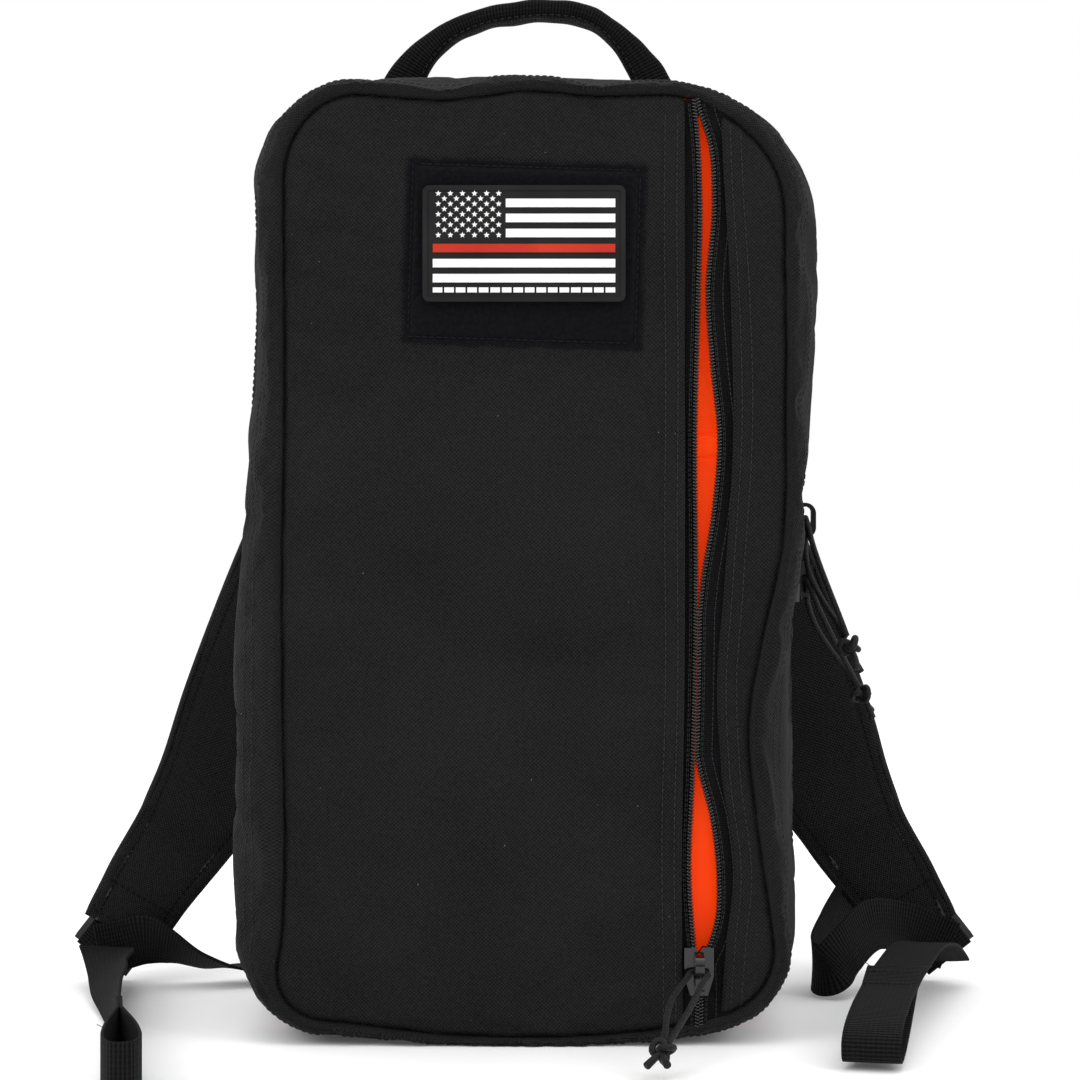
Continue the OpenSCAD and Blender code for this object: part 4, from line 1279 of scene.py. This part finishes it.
for side, sign in (("left", 1), ("right", -1)):
    strap_pieces(side, sign)

yoke_low, yoke_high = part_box("strap_yoke")
rise, share = np.meshgrid(np.linspace(0, 1, 30), np.linspace(-1, 1, 60), indexing="ij")
half = (yoke_high.x) + (0.066 - yoke_high.x) * rise
yoke = np.stack([-share * half, yoke_high.y + 0.0006 + 0.0012 * np.sin(math.pi * rise) * (1 - share**2)
                 + 0.0002 * np.sin(share * 60), yoke_low.z + (yoke_high.z - yoke_low.z) * rise], axis=-1)
cloth_piece("yoke_cloth", yoke, BLACK_CLOTH, 0.0014, "rear_shell", "pack_cloth", "strap_yoke")
yoke_rows = [facing(yoke[row] + [0, 0.0002, 0], BACK_WAY) for row in (2, 5, -3, -6)]
finish_piece(stitches("yoke_stitching", yoke_rows, THREAD), "rear_shell", "pack_cloth")

# ---------- webbing ----------


def band(name, stations):
    """Webbing through stations of x, y, z in millimetres, heading and roll in degrees.
    Roll 0 stands on edge."""
    s = through(stations, 14)
    middle = mm(s[:, :3])
    heading, roll = np.radians(s[:, 3]), np.radians(s[:, 4])
    across = np.column_stack([np.sin(heading) * np.sin(roll), -np.cos(heading) * np.sin(roll),
                              np.cos(roll)])
    return laid_band(name, middle, across)


def laid_band(name, middle, across, width=WEB_W, cup=0.0004):
    """Webbing along a line, lying across the given directions; cup is how far its middle stands out."""
    ahead = unit(np.gradient(middle, axis=0))
    across = unit(across - ahead * (across * ahead).sum(axis=1, keepdims=True))
    face = np.cross(ahead, across)
    share = np.linspace(-0.5, 0.5, 9)
    columns = [middle + across * (width * t) + face * (cup * (1 - 4 * t * t)) for t in share]
    grid = np.stack(columns, axis=1)
    grid[..., 2] = np.maximum(grid[..., 2], FLOOR_GAP + 0.0005)
    obj = sheet(name, grid, WEBBING, WEB_T, offset=0.0)
    soften(obj, 0.0004)
    return obj


LEFT_RUN = [
    (-214, 82.5, 17.5, -4, 6), (-203, 81.8, 19.5, -6, 0), (-190, 80.5, 22.5, -8, 8),
    (-177, 78.5, 19.5, -12, 36), (-160, 78, 12.2, -6, 62), (-144, 81, 9, 4, 84), (-130, 85, 9, 12, 90),
    (-118, 88, 9.2, 16, 90), (-106, 90, 9.5, 16, 90),
]
RIGHT_RUN = [
    (214, 83, 19, -172, -4), (203, 81, 24, -164, 2), (189, 75, 30, -150, 8), (172, 60, 33, -138, 12),
    (158, 44, 24, -158, 8), (148, 40, 14.5, -215, 2), (142, 55, 15, -262, 0), (151, 78, 26, -292, 0),
    (163, 97, 40, -300, 0), (171, 109, 58, -280, 0), (166, 117, 80, -225, 0), (148, 119.5, 97, -190, 0),
    (129, 118, 98, -170, 0), (117, 113, 82, -140, 6), (109, 104, 50, -110, 20), (106, 96, 22, -97, 60),
    (104, 88, 10.5, -95, 86),
]
for side, stations, lock, anchor in (
        ("left", LEFT_RUN, (-0.196, 0.085, 0.022), (-0.118, 0.088, 0.010)),
        ("right", RIGHT_RUN, (0.150, 0.045, 0.022), (0.112, 0.105, 0.03))):
    obj = band(f"adjuster_{side}_web", stations)
    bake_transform(obj)
    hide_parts(f"adjuster_webbing_{side}")

LEFT_TAIL = [
    (-211, 81, 18.5, -92, -100), (-207, 71, 17.5, -90, -84), (-202, 50, 16, -88, -64),
    (-197.5, 20, 14.4, -84, -42), (-191, -8, 13.8, -81, -30), (-183.5, -46, 13.4, -80, -12),
    (-176, -84, 13.2, -80, -2), (-171, -116, 13.2, -80, 0),
]
RIGHT_TAIL = [
    (x, y, z, -104, 90) for x, y, z in (
        (211, 81, 12.5), (207, 71, 18), (201, 54, 24.5), (193, 32, 28.5), (185, 6, 30), (177, -20, 28.6),
        (169, -44, 26), (163.8, -61, 23.6))
]


def end_loop(name, neck, heading, droop, across, length, fat, body):
    """The stitched loop that closes the end of a webbing tail: two plies part and meet in a round end."""
    heading, droop = math.radians(heading), math.radians(droop)
    ahead = np.array([math.cos(heading) * math.cos(droop), math.sin(heading) * math.cos(droop),
                      -math.sin(droop)])
    across = unit(np.asarray(across, float) - ahead * (np.asarray(across) @ ahead))
    open_way = np.cross(across, ahead)
    shape = [(-0.020, 0.0008), (0.0, 0.0007), (0.004, 0.00075), (0.014, 0.0022), (length * 0.5, fat * 0.42),
             (length * 0.8, fat * 0.52), (length * 0.96, fat * 0.36), (length, 0.0)]
    outline_ = shape + [(a, -b) for a, b in shape[-2::-1]]
    path = resample(through(np.array(outline_), 10), 150, axes=2)
    middle = mm(neck) + path[:, :1] * ahead + path[:, 1:2] * open_way
    obj = laid_band(name, middle, np.tile(across, (len(middle), 1)), cup=0.0)
    finish_piece(obj, body, "webbing")
    rows = []
    for at in (0.0015, -0.013):
        for sign in (1, -1):
            share = np.linspace(-0.46, 0.46, 24)[:, None] * WEB_W
            line = mm(neck) + ahead * at + across * share + open_way * sign * (0.0010 + WEB_T / 2)
            rows.append(facing(line, open_way * sign))
    finish_piece(stitches(f"{name}_stitching", rows, THREAD, pitch=0.0024, dash=0.0019), body, "webbing")
    # A few loose threads at the cut end.
    rng = np.random.default_rng(len(name))
    for k in range(4):
        share = (k / 3 - 0.5) * WEB_W * 0.9
        start = mm(neck) - ahead * 0.019 + across * share - open_way * 0.0016
        bend = rng.normal(size=3) * 0.0012
        path = spline([start, start - ahead * 0.002 + bend, start - ahead * 0.004 + bend * 2.2], 8)
        path[:, 2] = np.maximum(path[:, 2], FLOOR_GAP)
        finish_piece(tube(f"{name}_thread_{k}", path, 0.00018, THREAD, sides=5), body, "webbing")


for side, stations, loop in (
        ("left", LEFT_TAIL, ((-171, -112, 13.2), -80, 0, (0, 0, 1), 0.084, 0.0145)),
        ("right", RIGHT_TAIL, ((164.5, -58, 24.0), -104, 12, (1, 0, 0.06), 0.076, 0.0135))):
    obj = band(f"tail_{side}_web", stations)
    finish_piece(obj, f"{side}_tail", "webbing", f"webbing_tail_{side}")
    neck, heading, droop, across, length, fat = loop
    end_loop(f"tail_{side}_loop", neck, heading, droop, across, length, fat, f"{side}_tail")

# The short loops that hold the locks, and the tabs that tie the lower webbing into the back seam.
for side, sign in (("left", -1), ("right", 1)):
    lean = math.radians(38)
    pivot = np.array([sign * 0.200, 0.091, 0.031])
    up = np.array([-sign * math.sin(lean), 0, math.cos(lean)])
    over = np.array([sign * math.cos(lean), 0, math.sin(lean)])
    radius = 0.0029
    back = np.array(BACK_WAY)
    ring = [pivot + up * 0.010 - back * radius * 0.75]
    for angle in np.linspace(0, math.pi, 15):
        ring.append(pivot - up * radius * math.sin(angle) - back * radius * math.cos(angle))
    ring.append(pivot + up * 0.010 + back * radius * 0.75)
    ring = resample(np.array(ring), 40)
    obj = laid_band(f"lock_keeper_{side}", ring, np.tile(over, (40, 1)), width=LOCK_WEB_W, cup=0.0)
    finish_piece(obj, f"{side}_strap", "webbing", f"lock_loop_{side}")
    # Webbing through the lock: behind the last bar, over the middle one and out in front.
    threaded = [(23.5, 4.3), (19, 3.3), (14, 2.8), (10, 2.75), (7.9, 1.9), (7.25, 0), (7.9, -1.9),
                (10, -2.75), (14, -2.8), (18, -2.85), (24, -3.2)]
    run = np.array([pivot - up * (d * 0.001) + back * (y * 0.001) for d, y in threaded])
    run = spline(run, 60)
    obj = laid_band(f"lock_web_{side}", run, np.tile(over, (60, 1)), width=LOCK_WEB_W, cup=0.0)
    finish_piece(obj, f"{side}_lock", "webbing")
    low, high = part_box(f"anchor_tab_{side}")
    rows = []
    for t in np.linspace(0, 1, 12):
        reach = (high.y - low.y) * t
        inner = np.array([sign * (0.092 + 0.010 * t), low.y + reach * 0.92, low.z + 0.0014])
        outer = np.array([sign * (0.116 - 0.002 * t + 0.006 * math.sin(math.pi * t)), low.y + reach,
                          low.z + 0.0014])
        rows.append(inner + (outer - inner) * np.linspace(0, 1, 10)[:, None])
    tab = np.stack(rows, axis=0)[:, ::-sign]
    tab[..., 2] += 0.0003 * np.sin(tab[..., 0] * 900)
    cloth_piece(f"anchor_tab_{side}_cloth", tab, BLACK_CLOTH, 0.0026, "rear_shell", "pack_cloth",
                f"anchor_tab_{side}")

# ---------- carry handle ----------

handle_low, handle_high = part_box("carry_handle")
HANDLE_Y = (handle_low.y + handle_high.y) / 2
HANDLE_GIRTH = 0.056          # all the way round the folded webbing
# x, height above the body, half width in the front view, half depth, lean of the section.
HANDLE = [
    (-64, -2, 10.5, 1.5, 4), (-63, 6, 10.4, 1.7, 6), (-59.5, 17, 9.8, 3.0, 18), (-51, 30, 7.4, 6.0, 40),
    (-38.5, 41, 5.5, 8.2, 58), (-22, 48.6, 4.9, 9.0, 76), (-4, 52, 4.9, 9.2, 88), (16, 53, 4.9, 9.2, 95),
    (33, 49.5, 5.0, 8.8, 112), (47, 40, 5.7, 7.6, 134), (58.5, 26, 7.8, 5.0, 150), (66, 12, 10.2, 2.2, 164),
    (69, 4, 10.5, 1.6, 170), (70, -3, 10.5, 1.5, 174),
]
s = through(HANDLE, 9)
middle = points_at(s[:, 0] * 0.001, HANDLE_Y, TOP_Z + s[:, 1] * 0.001)
way = np.radians(s[:, 4])
wide = np.column_stack([np.cos(way), np.zeros(len(s)), -np.sin(way)])
flat, deep = squarish(np.linspace(0, TAU, 32, endpoint=False), 0.6, 0.6)
grip = (middle[:, None] + wide[:, None] * (s[:, 2:3] * 0.001 * flat)[..., None]
        + np.array(BACK_WAY) * (s[:, 3:4] * 0.001 * deep)[..., None])
grip += normals_of(grip) * (0.0003 * waves_on(grip, 0.018, 131))[..., None]
rows, cols = grip.shape[:2]
obj = new_object("handle_web", grip.reshape(-1, 3), capped_faces(rows, cols), WEBBING)
obj.data.uv_layers.new(name="cloth")
girth = np.linspace(0, HANDLE_GIRTH, cols)
set_uv(obj, np.column_stack([np.tile(girth, rows), np.repeat(arc_lengths(grip.transpose(1, 0, 2)), cols)]))
finish_piece(obj, "handle", "webbing", "carry_handle")
seam_line = [(grip[12:-12, k], unit(grip[12:-12, k] - middle[12:-12])) for k in (5, 27)]
finish_piece(stitches("handle_stitching", seam_line, THREAD, pitch=0.0034), "handle", "webbing")

# ---------- cord pulls ----------


def cord_pull(name, bail, knot, body, node, sag, turned):
    """A cord looped through a slider's bail, ending in a knot with two frayed tails."""
    bail, knot = np.asarray(bail, float), np.asarray(knot, float)
    across = np.array([1.0, 0, 0]) if turned else np.array([0, 1.0, 0])
    ahead = unit(knot - bail)
    side = unit(across - ahead * (across @ ahead))
    bow = unit(np.cross(ahead, side))
    span = np.linalg.norm(knot - bail)
    half, cord_r, knot_r, knot_size = 0.0040, 0.00135, 0.00150, 0.00155
    stations = []
    for t, spread, drop in ((0.93, 0.28, 0.1), (0.80, 0.5, 0.3), (0.60, 0.95, 0.75), (0.40, 1.15, 1.0),
                            (0.22, 1.1, 0.8), (0.08, 1.0, 0.25)):
        stations.append(bail + ahead * span * t + side * half * spread + bow * sag * drop)
    stations.append(bail + side * half * 0.85 - ahead * 0.0002)
    stations.append(bail - side * half * 0.85 - ahead * 0.0002)
    for t, spread, drop in ((0.08, 1.0, 0.15), (0.22, 1.25, 0.5), (0.40, 1.5, 0.6), (0.60, 1.2, 0.4),
                            (0.80, 0.6, 0.1), (0.93, 0.3, 0.0)):
        stations.append(bail + ahead * span * t - side * half * spread + bow * sag * drop * 0.4)
    loop = spline(stations, 110)
    finish_piece(tube(f"{name}_loop", loop, cord_r, CORD, sides=10), body, "cord", node)
    t = np.linspace(0, TAU, 90, endpoint=False)
    lump = (side * (np.sin(t) + 2 * np.sin(2 * t))[:, None] + bow * (np.cos(t) - 2 * np.cos(2 * t))[:, None]
            - ahead * (1.5 * np.sin(3 * t))[:, None]) * knot_size
    finish_piece(tube(f"{name}_knot", knot + lump, knot_r, CORD, sides=10, closed=True), body, "cord")
    for k, (spread, curl) in enumerate(((1.0, 0.6), (-0.8, -0.4))):
        tail = spline([knot + ahead * 0.002, knot + ahead * 0.0065 + side * 0.0022 * spread,
                       knot + ahead * 0.012 + side * 0.0048 * spread + bow * 0.002 * curl], 14)
        width = np.linspace(0.00140, 0.00175, 14)
        finish_piece(tube(f"{name}_tail_{k}", tail, width, CORD, sides=10), body, "cord")


BAIL_DEPTH = 0.0046           # of the middle of a slider's bail, below its outer face
for place, slider, node, hang, sag in (
        ("front", "front_slider", "front_pull_cord", (-19, -60, -22), 0.004),
        ("upper", "main_slider_upper", "main_pull_upper", (18, -20, -57), -0.006),
        ("lower", "main_slider_lower", "main_pull_lower", (28, 18, -54), -0.005)):
    low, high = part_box(slider)
    bail_z = (low.z + high.z) / 2
    on_front = place == "front"
    bail = (FRONT_ZIP_X, low.y + BAIL_DEPTH, bail_z) if on_front else (high.x - BAIL_DEPTH, ZIP_Y, bail_z)
    cord_pull(f"{place}_cord", bail, np.add(bail, mm(hang)), f"{place}_zip_pull", node, sag, on_front)

# ---------- CAD pieces that keep their own shape ----------

for node, material, bevel in (
        ("frame_sheet", SHEET_PLASTIC, 0.0003), ("patch_hook_backing", HOOKS, 0.0002),
        ("patch_base", PATCH_BASE, 0.0005), ("patch_white_marks", PATCH_WHITE, 0.00012),
        ("patch_red_stripe", PATCH_RED, 0.00015), ("front_slider", ENAMEL, 0.0005),
        ("main_slider_upper", ENAMEL, 0.0005), ("main_slider_lower", ENAMEL, 0.0005),
        ("ladder_lock_left", LOCK_PLASTIC, 0.0007), ("ladder_lock_right", LOCK_PLASTIC, 0.0007)):
    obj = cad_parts[node]
    obj.data.materials.clear()
    obj.data.materials.append(material)
    soften(obj, bevel, 3, 35)

# ---------- floor, light and camera ----------

s = Shader("studio_floor")
s.set(Base_Color=(0.93, 0.93, 0.93, 1), Roughness=0.85, Specular_IOR_Level=0.1)
s.set(Emission_Color=(1, 1, 1, 1), Emission_Strength=0.05)
speckle = s.noise(18.0, 2.0)
s.set(Base_Color=s.mix(speckle, grey(0.91), grey(0.95)))
across, deep = np.meshgrid(np.linspace(-6, 6, 25), np.linspace(-4, 8, 25))
floor = new_object("floor", points_at(across, deep, 0).reshape(-1, 3), grid_faces(25, 25), s.material)

world = bpy.data.worlds.new("studio")
world.use_nodes = True
sky = world.node_tree
background = sky.nodes["Background"]
background.inputs["Color"].default_value = (1, 1, 1, 1)
# The camera sees plain white; what lights the object is bright overhead and dim at the front.
direction = sky.nodes.new("ShaderNodeSeparateXYZ")
sky.links.new(sky.nodes.new("ShaderNodeTexCoord").outputs["Generated"], direction.inputs[0])
overhead = sky.nodes.new("ShaderNodeMapRange")
overhead.interpolation_type = "SMOOTHSTEP"
for key, value in (("From Min", -0.05), ("From Max", 0.75), ("To Min", 0.22), ("To Max", 1.35)):
    overhead.inputs[key].default_value = value
sky.links.new(direction.outputs["Z"], overhead.inputs["Value"])
seen = sky.nodes.new("ShaderNodeMix")
sky.links.new(sky.nodes.new("ShaderNodeLightPath").outputs["Is Camera Ray"], seen.inputs[0])
sky.links.new(overhead.outputs[0], seen.inputs[2])
seen.inputs[3].default_value = 1.0
sky.links.new(seen.outputs[0], background.inputs["Strength"])
bpy.context.scene.world = world


def softbox(name, place, target, size, power):
    lamp = bpy.data.lights.new(name, "AREA")
    lamp.shape = "RECTANGLE"
    lamp.size, lamp.size_y = size
    lamp.energy = power
    obj = bpy.data.objects.new(name, lamp)
    obj.location = place
    obj.rotation_mode = "QUATERNION"
    obj.rotation_quaternion = (Vector(target) - Vector(place)).to_track_quat("-Z", "Y")
    bpy.context.scene.collection.objects.link(obj)


softbox("softbox_left", (-1.5, -1.5, 1.3), (0, 0, 0.2), (0.9, 1.2), 14)
softbox("softbox_right", (1.7, -1.2, 1.1), (0, 0, 0.2), (0.7, 1.2), 9.5)
softbox("softbox_top", (0, -0.2, 2.2), (0, 0, 0), (1.8, 1.8), 9)

camera_data = bpy.data.cameras.new("camera")
camera_data.lens = 84.67
camera_data.sensor_width = 36
camera = bpy.data.objects.new("camera", camera_data)
camera.location = (0.008, -1.193, 0.223)
camera.rotation_euler = (math.pi / 2, 0, 0)
bpy.context.scene.collection.objects.link(camera)
bpy.context.scene.camera = camera
bpy.context.scene.view_settings.view_transform = "Standard"
